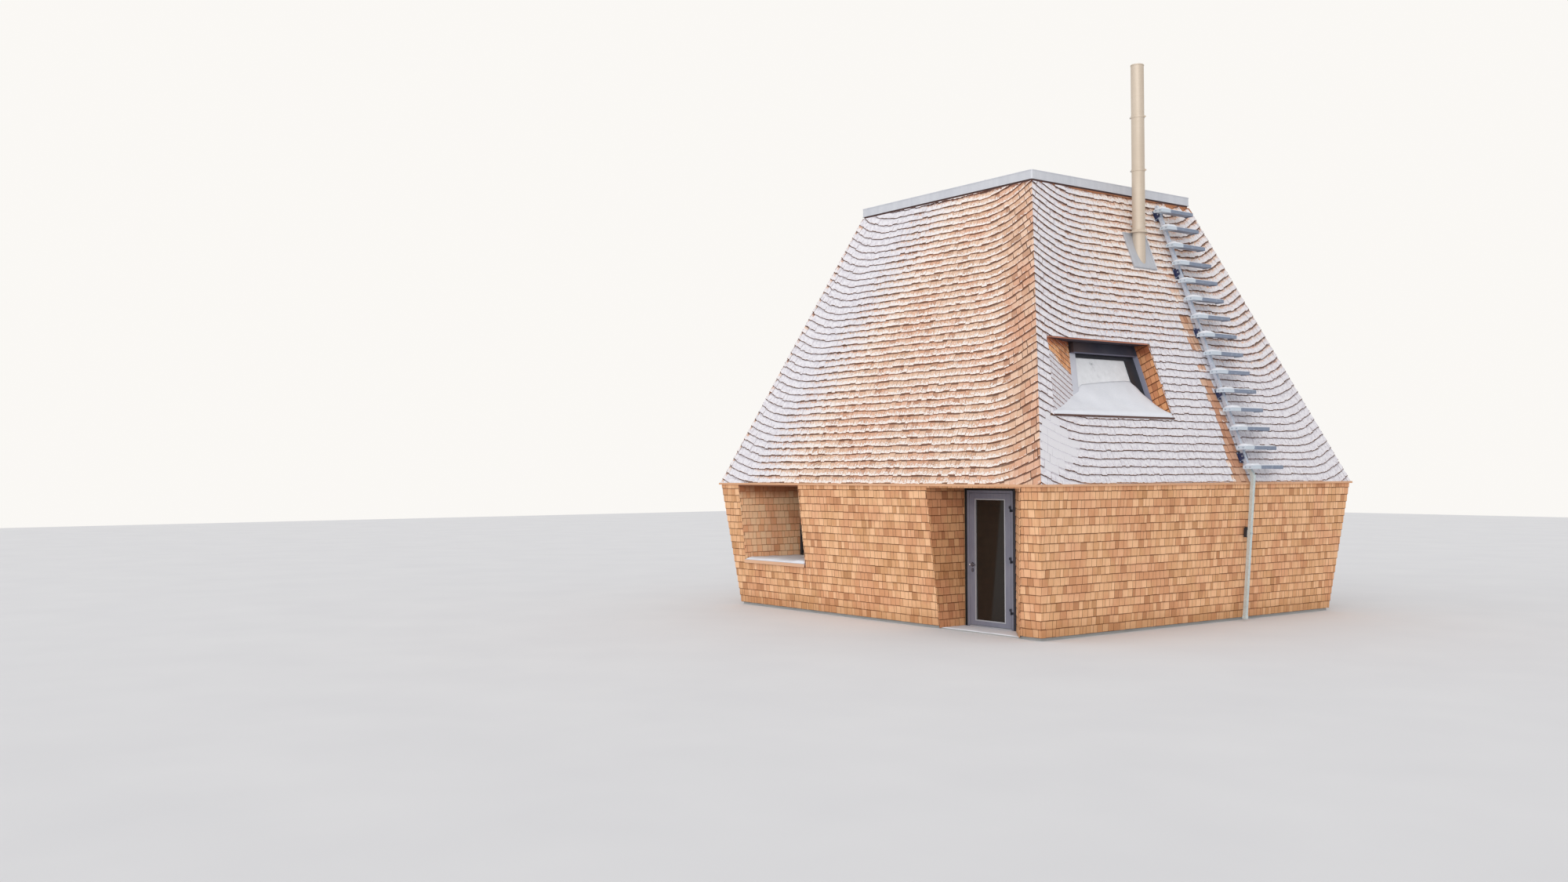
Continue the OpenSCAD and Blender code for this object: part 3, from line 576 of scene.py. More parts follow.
@dataclass(frozen=True)
class MetalFinish(Finish):
    """Bare or weathered metal."""

    name: str
    bright: Colour
    dull: Colour
    sheen: Sheen
    roughness: float = 0.35
    metallic: float = 1.0

    def build(self, sh: Shader) -> bpy.types.Material:
        """Make the material."""
        wide = sh.noise(sh.place, 1.7, 3.0)
        if self.sheen is Sheen.BRUSHED:
            mark = sh.noise(sh.stretch(sh.place, (3.0, 3.0, 240.0)), 1.0, 2.0)
            stain_and_shade = sh.noise(sh.stretch(sh.place, (9.0, 9.0, 0.7)), 1.0, 3.0)
        elif self.sheen is Sheen.SPANGLE:
            mark = sh.sock("ShaderNodeTexVoronoi", None, {"Vector": sh.place, "Scale": 55.0}, "Color")
            mark = sh.split(mark)[0]
            stain_and_shade = sh.noise(sh.place, 6.0, 3.0)
        else:
            mark = sh.noise(sh.place, 90.0, 2.0)
            stain_and_shade = sh.noise(sh.stretch(sh.place, (8.0, 8.0, 1.2)), 1.0, 3.0)
        wear = sh.math("ADD", mark * 0.45, stain_and_shade * 0.6 + wide * 0.35 - 0.35, clamp=True)
        return sh.surface({
            "Base Color": sh.mix(wear, self.bright, self.dull),
            "Metallic": self.metallic,
            "Roughness": wear * 0.2 + self.roughness,
            "Normal": sh.bump(mark, 0.1, 0.001),
        })


@dataclass(frozen=True)
class ConcreteFinish(Finish):
    """Cast concrete with pores and damp."""

    name: str
    colour: Colour
    damp: Colour

    def build(self, sh: Shader) -> bpy.types.Material:
        """Make the material."""
        wide = sh.noise(sh.place, 2.1, 4.0)
        sand = sh.noise(sh.place, 120.0, 3.0)
        pores = sh.sock("ShaderNodeTexVoronoi", None, {"Vector": sh.place, "Scale": 70.0})
        pit = 1.0 - sh.step(pores, 0.05, 0.16)
        return sh.surface({
            "Base Color": sh.mix(wide * 0.8 + sand * 0.4 + pit * 0.3 - 0.3, self.colour, self.damp),
            "Roughness": 0.9,
            "Normal": sh.bump(sand * 0.5 - pit, 0.4, 0.003),
        })


@dataclass(frozen=True)
class GlassFinish(Finish):
    """A dark glazing unit, with rime or snow on it where it lies open."""

    name: str
    colour: Colour
    rime: float
    ice: Colour = srgb(211, 213, 217)
    snow: Colour = srgb(244, 246, 250)

    def build(self, sh: Shader) -> bpy.types.Material:
        """Make the material."""
        smear = sh.noise(sh.place, 1.6, 3.0)
        film = sh.noise(sh.place, 9.0, 4.0, 0.65)
        rime = sh.step(film * 0.5 + smear * 0.5 + (self.rime - 0.5), 0.42, 0.62)
        base = sh.mix(smear * 0.5, self.colour, tuple(c * 1.8 for c in self.colour))
        return sh.surface({
            "Base Color": sh.mix(rime, base, sh.mix(film, self.ice, self.snow)),
            "Roughness": rime * 0.6 + 0.08,
            "Normal": sh.bump(film * rime, 0.4, 0.004),
            "IOR": 1.33,
        })


@dataclass(frozen=True)
class SnowFinish(Finish):
    """Settled snow."""

    name: str = "settled_snow"
    colour: Colour = srgb(240, 242, 247)
    shade: Colour = srgb(213, 217, 227)
    dirt: Colour = srgb(150, 130, 110)

    def build(self, sh: Shader) -> bpy.types.Material:
        """Make the material."""
        wide = sh.noise(sh.place, 3.0, 3.0)
        crust = sh.noise(sh.place, 42.0, 4.0, 0.6)
        grit = sh.step(sh.noise(sh.place, 85.0, 2.0), 0.70, 0.76)
        snow = sh.mix(wide * 0.5 + crust * 0.5, self.colour, self.shade)
        return sh.surface({
            "Base Color": sh.mix(grit * 0.25, snow, self.dirt),
            "Roughness": 0.7,
            "Normal": sh.bump(crust, 0.35, 0.006),
        })


# Brown in each shingle finish also paints shade in the joints, under each butt and along each foot; the
# height bands paint the shade under the cap, the soffits and the window heads.
ROOF_SHINGLES = ShingleFinish(
    "roof_shingles", srgb(231, 197, 173), srgb(203, 159, 129), srgb(54, 30, 30), 0.1385, 0.10, True,
    stain_and_shade=(7.52, 7.57), painted_shade_colour=srgb(120, 74, 62), eave=2.40)
WALL_SHINGLES = ShingleFinish(
    "wall_shingles", srgb(247, 198, 155), srgb(205, 150, 102), srgb(92, 50, 24), 0.133, 0.05, damp=0.4)
# Painted light: paler than the wall shingles, as lit by light thrown into the niche; its height band paints
# the shade under the soffit
LIT_NICHE_SHINGLES = ShingleFinish(
    "lit_niche_shingles", srgb(255, 220, 180), srgb(254, 190, 140), srgb(150, 88, 56), 0.133, 0.04,
    stain_and_shade=(2.02, 2.32), painted_shade_colour=srgb(150, 84, 50))
# Painted shade: darker than the wall shingles, as shaded inside the door niche
SHADED_JAMB_SHINGLES = ShingleFinish(
    "shaded_jamb_shingles", srgb(222, 170, 124), srgb(178, 122, 76), srgb(84, 46, 22), 0.133, 0.04)
REVEAL_SHINGLES = ShingleFinish(
    "reveal_shingles", srgb(226, 166, 118), srgb(184, 120, 76), srgb(84, 44, 24), 0.133, 0.07,
    stain_and_shade=(4.52, 4.68))
CHEEK_SHINGLES = ShingleFinish(
    "cheek_shingles", srgb(244, 184, 134), srgb(218, 148, 96), srgb(104, 54, 34), 0.105, 0.06, True,
    stain_and_shade=(4.60, 4.74), painted_shade_colour=srgb(150, 62, 36))
INNER_BOARDS = TimberFinish("inner_boards", srgb(206, 172, 132), srgb(170, 130, 90), 0.14, Grain.Z)
SOFFIT_BOARDS = TimberFinish("soffit_boards", srgb(150, 98, 66), srgb(104, 62, 40), 0.12, Grain.Y)
FLOOR_BOARDS = TimberFinish("floor_boards", srgb(186, 146, 104), srgb(146, 106, 70), 0.16, Grain.X, 0.5)
EAVE_TIMBER = TimberFinish("eave_timber", srgb(226, 178, 140), srgb(186, 134, 98), 0.58, Grain.X)
# Painted shade: dark, for the shade under the cap
SHADED_DECK_BOARDS = TimberFinish("shaded_deck_boards", srgb(104, 72, 66), srgb(76, 50, 48), 0.033, Grain.Y)
CONCRETE = ConcreteFinish("plinth_concrete", srgb(178, 178, 176), srgb(128, 128, 126))
GREY_SHEET = MetalFinish("grey_sheet", srgb(196, 198, 204), srgb(158, 162, 172), Sheen.SHEET, 0.45, 0.3)
CAP_SHEET = MetalFinish("cap_sheet", srgb(212, 214, 220), srgb(176, 180, 190), Sheen.SHEET, 0.5, 0.2)
FLUE_STEEL = MetalFinish("flue_steel", srgb(209, 196, 181), srgb(184, 167, 146), Sheen.BRUSHED, 0.5, 0.35)
# Painted highlight: nearly white, for the glint on the handle's cap
HIGHLIGHT_STEEL = MetalFinish("highlight_steel", srgb(250, 250, 250), srgb(220, 220, 224), Sheen.SHEET, 0.3, 0.3)
NOSING_TIMBER = TimberFinish("nosing_timber", srgb(232, 188, 154), srgb(196, 148, 114), 0.2, Grain.X)
# Painted shade: dark, for the shade under the eave over each niche
SHADED_HEAD_TIMBER = TimberFinish("shaded_head_timber", srgb(140, 84, 50), srgb(104, 58, 34), 0.2, Grain.X)
HANDLE_STEEL = MetalFinish("handle_steel", srgb(128, 126, 138), srgb(92, 92, 104), Sheen.BRUSHED, 0.4, 0.6)
HINGE_STEEL = MetalFinish("hinge_steel", srgb(58, 60, 70), srgb(36, 38, 46), Sheen.SHEET, 0.42, 0.6)
GALVANISED = MetalFinish(
    "galvanised_steel", srgb(190, 200, 210), srgb(140, 152, 166), Sheen.SPANGLE, 0.42, 0.7)
SPINE_STEEL = MetalFinish("spine_steel", srgb(218, 225, 235), srgb(172, 182, 202), Sheen.SPANGLE, 0.45, 0.35)
TREADS = TreadFinish()
CLAMP_BLACK = PaintFinish("clamp_black", srgb(30, 32, 38), srgb(60, 62, 70), 0.4, 0.4)
# Painted shade: dark navy, for the shade under the ladder's spine
SHADED_BRACKET_NAVY = PaintFinish("shaded_bracket_navy", srgb(40, 46, 84), srgb(84, 92, 122), 0.4, 0.4)
MAST_STEEL = MetalFinish("mast_steel", srgb(212, 223, 224), srgb(180, 190, 188), Sheen.SPANGLE, 0.5, 0.35)
SLATE_PAINT = PaintFinish("slate_paint", srgb(116, 118, 134), srgb(148, 148, 160), 0.4, 0.5)
BLACK_FRAME = PaintFinish("black_frame", srgb(38, 39, 44), srgb(70, 74, 84), 0.35, 0.35)
# Black of the seals, and painted shade on the door packers, which fill the shadow gap round the door frame
GASKET_AND_SHADE_BLACK = PaintFinish("gasket_and_shade_black", srgb(24, 24, 26), srgb(44, 44, 48), 0.6, 0.3)
DOOR_GLASS = GlassFinish("door_glass", srgb(36, 31, 27), 0.0)
NICHE_GLASS = GlassFinish("niche_glass", srgb(40, 42, 44), 0.0)
ROOF_GLASS = GlassFinish("roof_glass", srgb(84, 90, 98), 0.72)
SNOW = SnowFinish()
TRIM = TrimFinish()
# Painted shade on the underside, at the window head's height
HEAD_LINING = TimberFinish(
    "head_lining", srgb(204, 138, 112), srgb(152, 90, 70), 0.12, Grain.Y, painted_shade_z=WINDOW_HEAD_Z)
SILL_TIMBER = TimberFinish("sill_timber", srgb(98, 66, 56), srgb(66, 42, 40), 0.12, Grain.Y)

NODE_FINISHES: dict[str, Finish] = {name: finish for finish, names in (
    (CONCRETE, "foundation doorstep"),
    (FLOOR_BOARDS, "floor upper_floor"),
    (INNER_BOARDS, "front_wall window_apron_walls right_wall left_wall back_wall door_niche_walls"),
    (INNER_BOARDS, "window_niche_linings roof_window_cheeks front_roof back_roof right_roof left_roof"),
    (INNER_BOARDS, "right_roof_middle left_roof_middle"),
    (SOFFIT_BOARDS, "door_niche_soffit"),
    (GREY_SHEET, "window_niche_sills flue_flashing door_threshold door_bead"),
    (BLACK_FRAME, "window_niche_frames roof_window_frames"),
    (NICHE_GLASS, "window_niche_glass"),
    (ROOF_GLASS, "roof_window_glass"),
    (DOOR_GLASS, "door_glass"),
    (EAVE_TIMBER, "eave_boards"),
    (SHADED_DECK_BOARDS, "roof_deck"),
    (CAP_SHEET, "roof_cap"),
    (SILL_TIMBER, "roof_window_sills"),
    (HEAD_LINING, "roof_window_heads"),
    (TRIM, "roof_window_trims"),
    (FLUE_STEEL, "flue"),
    (SPINE_STEEL, "ladder_spine"),
    (TREADS, "ladder_treads"),
    (MAST_STEEL, "ladder_mast"),
    (SLATE_PAINT, "door_frame door_leaf"),
    # Painted shade: the packers fill the shadow gap round the door frame
    (GASKET_AND_SHADE_BLACK, "door_packers"),
    (HINGE_STEEL, "hinge_pins hinge_knuckles"),
    (HANDLE_STEEL, "door_handle"),
) for name in names.split()}


def quarter_turn(quarter: int) -> Matrix:
    """Rotation about the vertical axis by quarter turns."""
    return Matrix.Rotation(quarter * math.pi / 2, 3, "Z")


@dataclass(frozen=True)
class Plane:
    """A cutting plane whose normal points at the side that is cut away."""

    at: Vector
    normal: Vector

    def beyond(self, point: Vector) -> float:
        """Distance of a point past the plane."""
        return (point - self.at).dot(self.normal)

    def turned(self, quarter: int) -> Plane:
        """The plane after quarter turns about the vertical axis."""
        turn = quarter_turn(quarter)
        return Plane(turn @ self.at, turn @ self.normal)

    def moved(self, distance: float) -> Plane:
        """The plane shifted along its normal."""
        return Plane(self.at + self.normal * distance, self.normal)


def plane(at: Point, normal: Point) -> Plane:
    """Make a plane from plain numbers."""
    return Plane(Vector(at), Vector(normal).normalized())


@dataclass(frozen=True)
class Face:
    """A flat face with axes along it, up it and out of it."""

    origin: Vector
    along: Vector
    up: Vector

    @property
    def out(self) -> Vector:
        """The outward normal."""
        return self.along.cross(self.up)

    def at(self, s: float, v: float, h: float = 0.0) -> Vector:
        """Point at distances along, up and out."""
        return self.origin + self.along * s + self.up * v + self.out * h

    def turned(self, quarter: int) -> Face:
        """The face after quarter turns about the vertical axis."""
        turn = quarter_turn(quarter)
        return Face(turn @ self.origin, turn @ self.along, turn @ self.up)

    def skin(self, height: float) -> Plane:
        """The plane that lies a height above the face."""
        return Plane(self.at(0, 0, height), self.out)


def face(origin: Point, along: Point, up: Point) -> Face:
    """Make a face from plain numbers, with its up axis squared to its along axis."""
    side = Vector(along).normalized()
    rise = Vector(up)
    rise = (rise - side * rise.dot(side)).normalized()
    return Face(Vector(origin), side, rise)


def upright(y: float) -> Face:
    """An upright face that looks out of the door side."""
    return face((0, y, 0), (1, 0, 0), (0, 0, 1))


def extents(quarter: int) -> Pair:
    """Half width and half depth of the building, seen from a side."""
    return (HALF_Y, HALF_X) if quarter % 2 else (HALF_X, HALF_Y)


def roof_face(quarter: int) -> Face:
    """Outer face of a roof slope; quarter 0 is the door side and 1 the ladder side."""
    deep = extents(quarter)[1] - ROOF_BACK
    return face((0, -deep, EAVE_Z), (1, 0, 0), (0, ROOF_K, 1)).turned(quarter)


def wall_face(quarter: int) -> Face:
    """Outer face of a wall, numbered as the slopes are."""
    deep = extents(quarter)[1] - WALL_FOOT
    return face((0, -deep, 0), (1, 0, 0), (0, -WALL_K, 1)).turned(quarter)


def mitres(quarter: int) -> list[Plane]:
    """The upright planes on which neighbouring sides meet."""
    wide, deep = extents(quarter)
    pair = [plane((-wide, -deep, 0), (-1, 1, 0)), plane((wide, -deep, 0), (1, 1, 0))]
    return [p.turned(quarter) for p in pair]


def levels(low: float, high: float) -> list[Plane]:
    """The level planes that keep what lies between two heights."""
    return [plane((0, 0, low), (0, 0, -1)), plane((0, 0, high), (0, 0, 1))]


class Shape:
    """Collects plain solids and turns them into one piece."""

    def __init__(self) -> None:
        """Start with nothing."""
        self.mesh = bmesh.new()

    def bands(self, rings: list[list[bmesh.types.BMVert]], closed: bool) -> Shape:
        """Join each ring of points to the next, and the last to the first where closed."""
        for low, high in zip(rings, rings[1:] + (rings[:1] if closed else [])):
            for i in range(len(low)):
                j = (i + 1) % len(low)
                self.mesh.faces.new((low[i], low[j], high[j], high[i]))
        return self

    def loft(self, rings: list[list[Vector]]) -> Shape:
        """Add a closed solid through rings of the same number of points."""
        made = [[self.mesh.verts.new(p) for p in ring] for ring in rings]
        self.mesh.faces.new(made[0][::-1])
        self.mesh.faces.new(made[-1])
        return self.bands(made, False)

    def prism(self, ring: list[Vector], shift: Vector) -> Shape:
        """Add a closed prism from a flat ring of points and a shift."""
        return self.loft([ring, [p + shift for p in ring]])

    def box(self, low: Point, high: Point) -> Shape:
        """Add an upright box."""
        (x0, y0, z0), (x1, y1, z1) = low, high
        ring = [Vector(p) for p in ((x0, y0, z0), (x1, y0, z0), (x1, y1, z0), (x0, y1, z0))]
        return self.prism(ring, Vector((0, 0, z1 - z0)))

    def lathe(self, centre: Point, axis: Point, profile: Profile, sides: int) -> Shape:
        """Add a closed turned solid.

        Args:
            centre: Where the profile's height is zero.
            axis: Direction of the turning axis.
            profile: Radius and height pairs, closed between its ends.
            sides: Number of sides.

        Returns:
            The same collection.
        """
        axle = Vector(axis).normalized()
        first = axle.orthogonal().normalized()
        second = axle.cross(first)
        turns = [2 * math.pi * i / sides for i in range(sides)]
        spokes = [first * math.cos(a) + second * math.sin(a) for a in turns]
        return self.bands([
            [self.mesh.verts.new(Vector(centre) + axle * height + spoke * radius) for spoke in spokes]
            for radius, height in profile], True)

    def sheet(self, steps: tuple[int, int], rule: Rule) -> Shape:
        """Add a closed sheet that follows a rule.

        Args:
            steps: Steps along it and across it.
            rule: Gives the upper and the lower point at shares from 0 to 1 of both ways.

        Returns:
            The same collection.
        """
        nx, ny = steps
        grid = [[rule(i / nx, j / ny) for j in range(ny + 1)] for i in range(nx + 1)]
        upper, lower = ([[self.mesh.verts.new(ends[k]) for ends in row] for row in grid] for k in (0, 1))
        for i in range(nx):
            for j in range(ny):
                self.mesh.faces.new((upper[i][j], upper[i][j + 1], upper[i + 1][j + 1], upper[i + 1][j]))
                self.mesh.faces.new((lower[i][j], lower[i + 1][j], lower[i + 1][j + 1], lower[i][j + 1]))
        rim = [(0, j) for j in range(ny)] + [(i, ny) for i in range(nx)]
        rim += [(nx, j) for j in range(ny, 0, -1)] + [(i, 0) for i in range(nx, 0, -1)]
        for (a, b), (c, d) in zip(rim, rim[1:] + rim[:1]):
            self.mesh.faces.new((upper[a][b], lower[a][b], lower[c][d], upper[c][d]))
        return self

    def hoop(self, path: Spots, rise: Vector, profile: Profile) -> Shape:
        """Add a closed solid that runs round a closed path.

        Args:
            path: Points with the outward way at each, mitred at sharp corners.
            rise: The way of the profile's second measure.
            profile: Out and up pairs round the profile.

        Returns:
            The same collection.
        """
        return self.bands([
            [self.mesh.verts.new(p + out * a + rise * b) for a, b in profile] for p, out in path], True)

    def turned(self, quarter: int) -> Shape:
        """Turn the collection to its side of the building."""
        self.mesh.transform(quarter_turn(quarter).to_4x4())
        return self

    def smooth(self) -> Shape:
        """Shade the faces made so far as one soft surface."""
        for made in self.mesh.faces:
            made.smooth = True
        return self

    def piece(self, name: str, finish: Finish, slot: str = "", bevel: float = 0.0,
              body: str = "building") -> None:
        """Turn the collection into one piece that rides on a body."""
        bmesh.ops.recalc_face_normals(self.mesh, faces=self.mesh.faces)
        mesh = bpy.data.meshes.new(name)
        self.mesh.to_mesh(mesh)
        self.mesh.free()
        made = settle(name, mesh, finish, slot, body)
        if bevel:
            rounding = made.modifiers.new("edges", "BEVEL")
            rounding.width = bevel
            rounding.segments = 2
            rounding.limit_method = "ANGLE"


def rectangle(half_a: float, half_b: float) -> list[Pair]:
    """The corners of a rectangle round its middle."""
    return [(-half_a, -half_b), (half_a, -half_b), (half_a, half_b), (-half_a, half_b)]


def border(side: Face, low: Pair, high: Pair) -> Spots:
    """The corners of a rectangle on a face, each with its mitred outward way."""
    path = []
    for a, b in rectangle(1, 1):
        s, v = (high if a > 0 else low)[0], (high if b > 0 else low)[1]
        path.append((side.at(s, v), side.along * a + side.up * b))
    return path


def settle(name: str, mesh: bpy.types.Mesh, finish: Finish, slot: str,
           body: str = "building") -> bpy.types.Object:
    """Link a finished mesh as a piece.

    Args:
        name: The piece's name.
        mesh: Its mesh, with its place in its points.
        finish: Its finish.
        slot: The record's material slot, or nothing where it has none; not used.
        body: The body that it rides on.

    Returns:
        The piece.
    """
    if not mesh.materials:
        mesh.materials.append(finish.material())
    made = bpy.data.objects.new(name, mesh)
    bpy.context.scene.collection.objects.link(made)
    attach(made, body)
    log.info("%s: %d faces", name, len(mesh.polygons))
    return made


class GeometryTree(NodeTree):
    """Builds one Geometry Nodes group with named inputs."""

    def __init__(self, name: str, sizes: dict[str, float]) -> None:
        """Open the group and its sockets."""
        super().__init__(bpy.data.node_groups.new(name, "GeometryNodeTree"))
        face_in = self.tree.interface
        face_in.new_socket("Geometry", in_out="INPUT", socket_type="NodeSocketGeometry")
        for key, value in sizes.items():
            face_in.new_socket(key, in_out="INPUT", socket_type="NodeSocketFloat").default_value = value
        face_in.new_socket("Finish", in_out="INPUT", socket_type="NodeSocketMaterial")
        face_in.new_socket("Geometry", in_out="OUTPUT", socket_type="NodeSocketGeometry")
        self.entry = self.node("NodeGroupInput").outputs

    def out(self, kind: str, settings: Settings | None, inputs: Inputs) -> bpy.types.NodeSocket:
        """Add a node and return its first output."""
        return self.node(kind, settings, inputs).outputs[0]

    def calc(self, operation: str, *values: bpy.types.NodeSocket | float) -> bpy.types.NodeSocket:
        """Add a Math node and return its output."""
        return self.out("ShaderNodeMath", {"operation": operation}, dict(enumerate(values)))

    def named(self, name: str) -> bpy.types.NodeSocket:
        """Read a named vector attribute."""
        settings = {"data_type": "FLOAT_VECTOR"}
        return self.out("GeometryNodeInputNamedAttribute", settings, {"Name": name})

    def scatter(self, solid: bpy.types.NodeSocket, inputs: Inputs) -> None:
        """Put a solid on every point, realise it, set its finish and end the group.

        Args:
            solid: The solid's output.
            inputs: What else the instances take.
        """
        turn = self.out("FunctionNodeEulerToRotation", None, {0: self.named("turn")})
        laid = self.out("GeometryNodeInstanceOnPoints", None, {
            "Points": self.entry["Geometry"], "Instance": solid, "Rotation": turn, **inputs})
        real = self.out("GeometryNodeRealizeInstances", None, {"Geometry": laid})
        dressed = self.out("GeometryNodeSetMaterial", None, {
            "Geometry": real, "Material": self.entry["Finish"]})
        self.node("NodeGroupOutput", None, {0: dressed})

    def run(self, points: bpy.types.Mesh, sizes: dict[str, float], finish: Finish) -> bpy.types.Mesh:
        """Run the group on a mesh of points and give back a plain mesh.

        Args:
            points: The mesh that carries the points and their attributes.
            sizes: Values for the named inputs.
            finish: The finish of the result.

        Returns:
            The realised mesh.
        """
        holder = bpy.data.objects.new("holder", points)
        bpy.context.scene.collection.objects.link(holder)
        laid = holder.modifiers.new("laid", "NODES")
        laid.node_group = self.tree
        values = {**sizes, "Finish": finish.material()}
        for item in self.tree.interface.items_tree:
            if item.in_out == "INPUT" and item.name in values:
                laid[item.identifier] = values[item.name]
        graph = bpy.context.evaluated_depsgraph_get()
        mesh = bpy.data.meshes.new_from_object(holder.evaluated_get(graph))
        # A primitive starts with an empty slot
        if mesh.materials[0] is None:
            mesh.materials.pop(index=0)
        holder.modifiers.clear()
        bpy.data.objects.remove(holder)
        return mesh


class ShingleTree(GeometryTree):
    """Lays one tapered shingle on every point."""

    def __init__(self) -> None:
        """Build the group."""
        super().__init__("shingle_laying", {"Length": 0.26, "Butt": 0.02, "Head": 0.005})
        cube = self.out("GeometryNodeMeshCube", None, {"Size": (1, 1, 1)})
        place = self.out("GeometryNodeInputPosition", None, {})
        parts = self.node("ShaderNodeSeparateXYZ", None, {0: place})
        up = self.calc("ADD", parts.outputs[1], 0.5)
        out = self.calc("ADD", parts.outputs[2], 0.5)
        across = self.calc("ADD", parts.outputs[0], 0.5)
        far = self.calc("MULTIPLY", up, self.entry["Length"])
        fall = self.calc("SUBTRACT", self.entry["Head"], self.entry["Butt"])
        thick = self.calc("MULTIPLY_ADD", up, fall, self.entry["Butt"])
        high = self.calc("MULTIPLY", out, thick)
        unit = self.out("ShaderNodeCombineXYZ", None, {0: across, 1: far, 2: out})
        shape = self.out("ShaderNodeCombineXYZ", None, {0: parts.outputs[0], 1: far, 2: high})
        settings = {"data_type": "FLOAT_VECTOR", "domain": "POINT"}
        kept = self.out("GeometryNodeStoreNamedAttribute", settings, {
            "Geometry": cube, "Name": "unit", "Value": unit})
        wedge = self.out("GeometryNodeSetPosition", None, {
            "Geometry": kept, "Position": shape})
        self.scatter(wedge, {"Scale": self.named("size")})


class BoltTree(GeometryTree):
    """Puts a six-sided head on a washer at every point."""

    HEIGHT = 0.75
    WASHER = 1.5

    def __init__(self) -> None:
        """Build the group."""
        super().__init__("bolt_heads", {"Head": 0.009, "Height": 0.007, "Washer": 0.014})
        entry = self.entry
        head = self.out("GeometryNodeMeshCylinder", None, {
            "Vertices": 6, "Radius": entry["Head"], "Depth": entry["Height"]})
        washer = self.out("GeometryNodeMeshCylinder", None, {
            "Vertices": 14, "Radius": entry["Washer"], "Depth": 0.003})
        lift = self.out("ShaderNodeCombineXYZ", None, {2: self.calc("MULTIPLY", entry["Height"], 0.5)})
        raised = self.out("GeometryNodeTransform", None, {
            "Geometry": head, "Translation": lift})
        both = self.node("GeometryNodeJoinGeometry")
        self.tree.links.new(raised, both.inputs[0])
        self.tree.links.new(washer, both.inputs[0])
        self.scatter(both.outputs[0], {})

    def fix(self, name: str, spots: Spots, head: float, finish: Finish, slot: str,
            body: str = "building") -> None:
        """Put heads at places that face given ways.

        Args:
            name: The piece's name.
            spots: Places and outward directions.
            head: Radius of a head.
            finish: Its finish.
            slot: The record's material slot.
            body: The body that they ride on.
        """
        mesh = bpy.data.meshes.new("spots")
        mesh.from_pydata([place for place, _ in spots], [], [])
        layer = mesh.attributes.new("turn", "FLOAT_VECTOR", "POINT")
        turns = [way.to_track_quat("Z", "Y").to_euler("XYZ") for _, way in spots]
        layer.data.foreach_set("vector", [angle for turn in turns for angle in turn])
        sizes = {"Head": head, "Height": head * self.HEIGHT, "Washer": head * self.WASHER}
        settle(name, self.run(mesh, sizes, finish), finish, slot, body)


@dataclass(frozen=True)
class Sweep:
    """How courses sweep up to the hips at both ends of a face."""

    half: float
    taper: float
    low: Point
    high: Point
    grow: float = 0.08
    past_hip: float = 0.15

    def lift(self, s: float, v: float) -> float:
        """How far a course is lifted at a place: a parabola that runs on straight near the hip.

        Each end holds its curve, its reach from the hip and the width of its straight part. The
        curve gets stronger up the roof.
        """
        total = 0.0
        for place, (curve, reach, straight) in ((s, self.low), (-s, self.high)):
            gap = place + self.half - self.taper * v
            if gap < straight:
                span = reach - straight
                total += curve * span * (span + 2 * (straight - max(gap, -self.past_hip)))
            elif gap < reach:
                total += curve * (reach - gap) ** 2
        return total * (1.0 + self.grow * v)


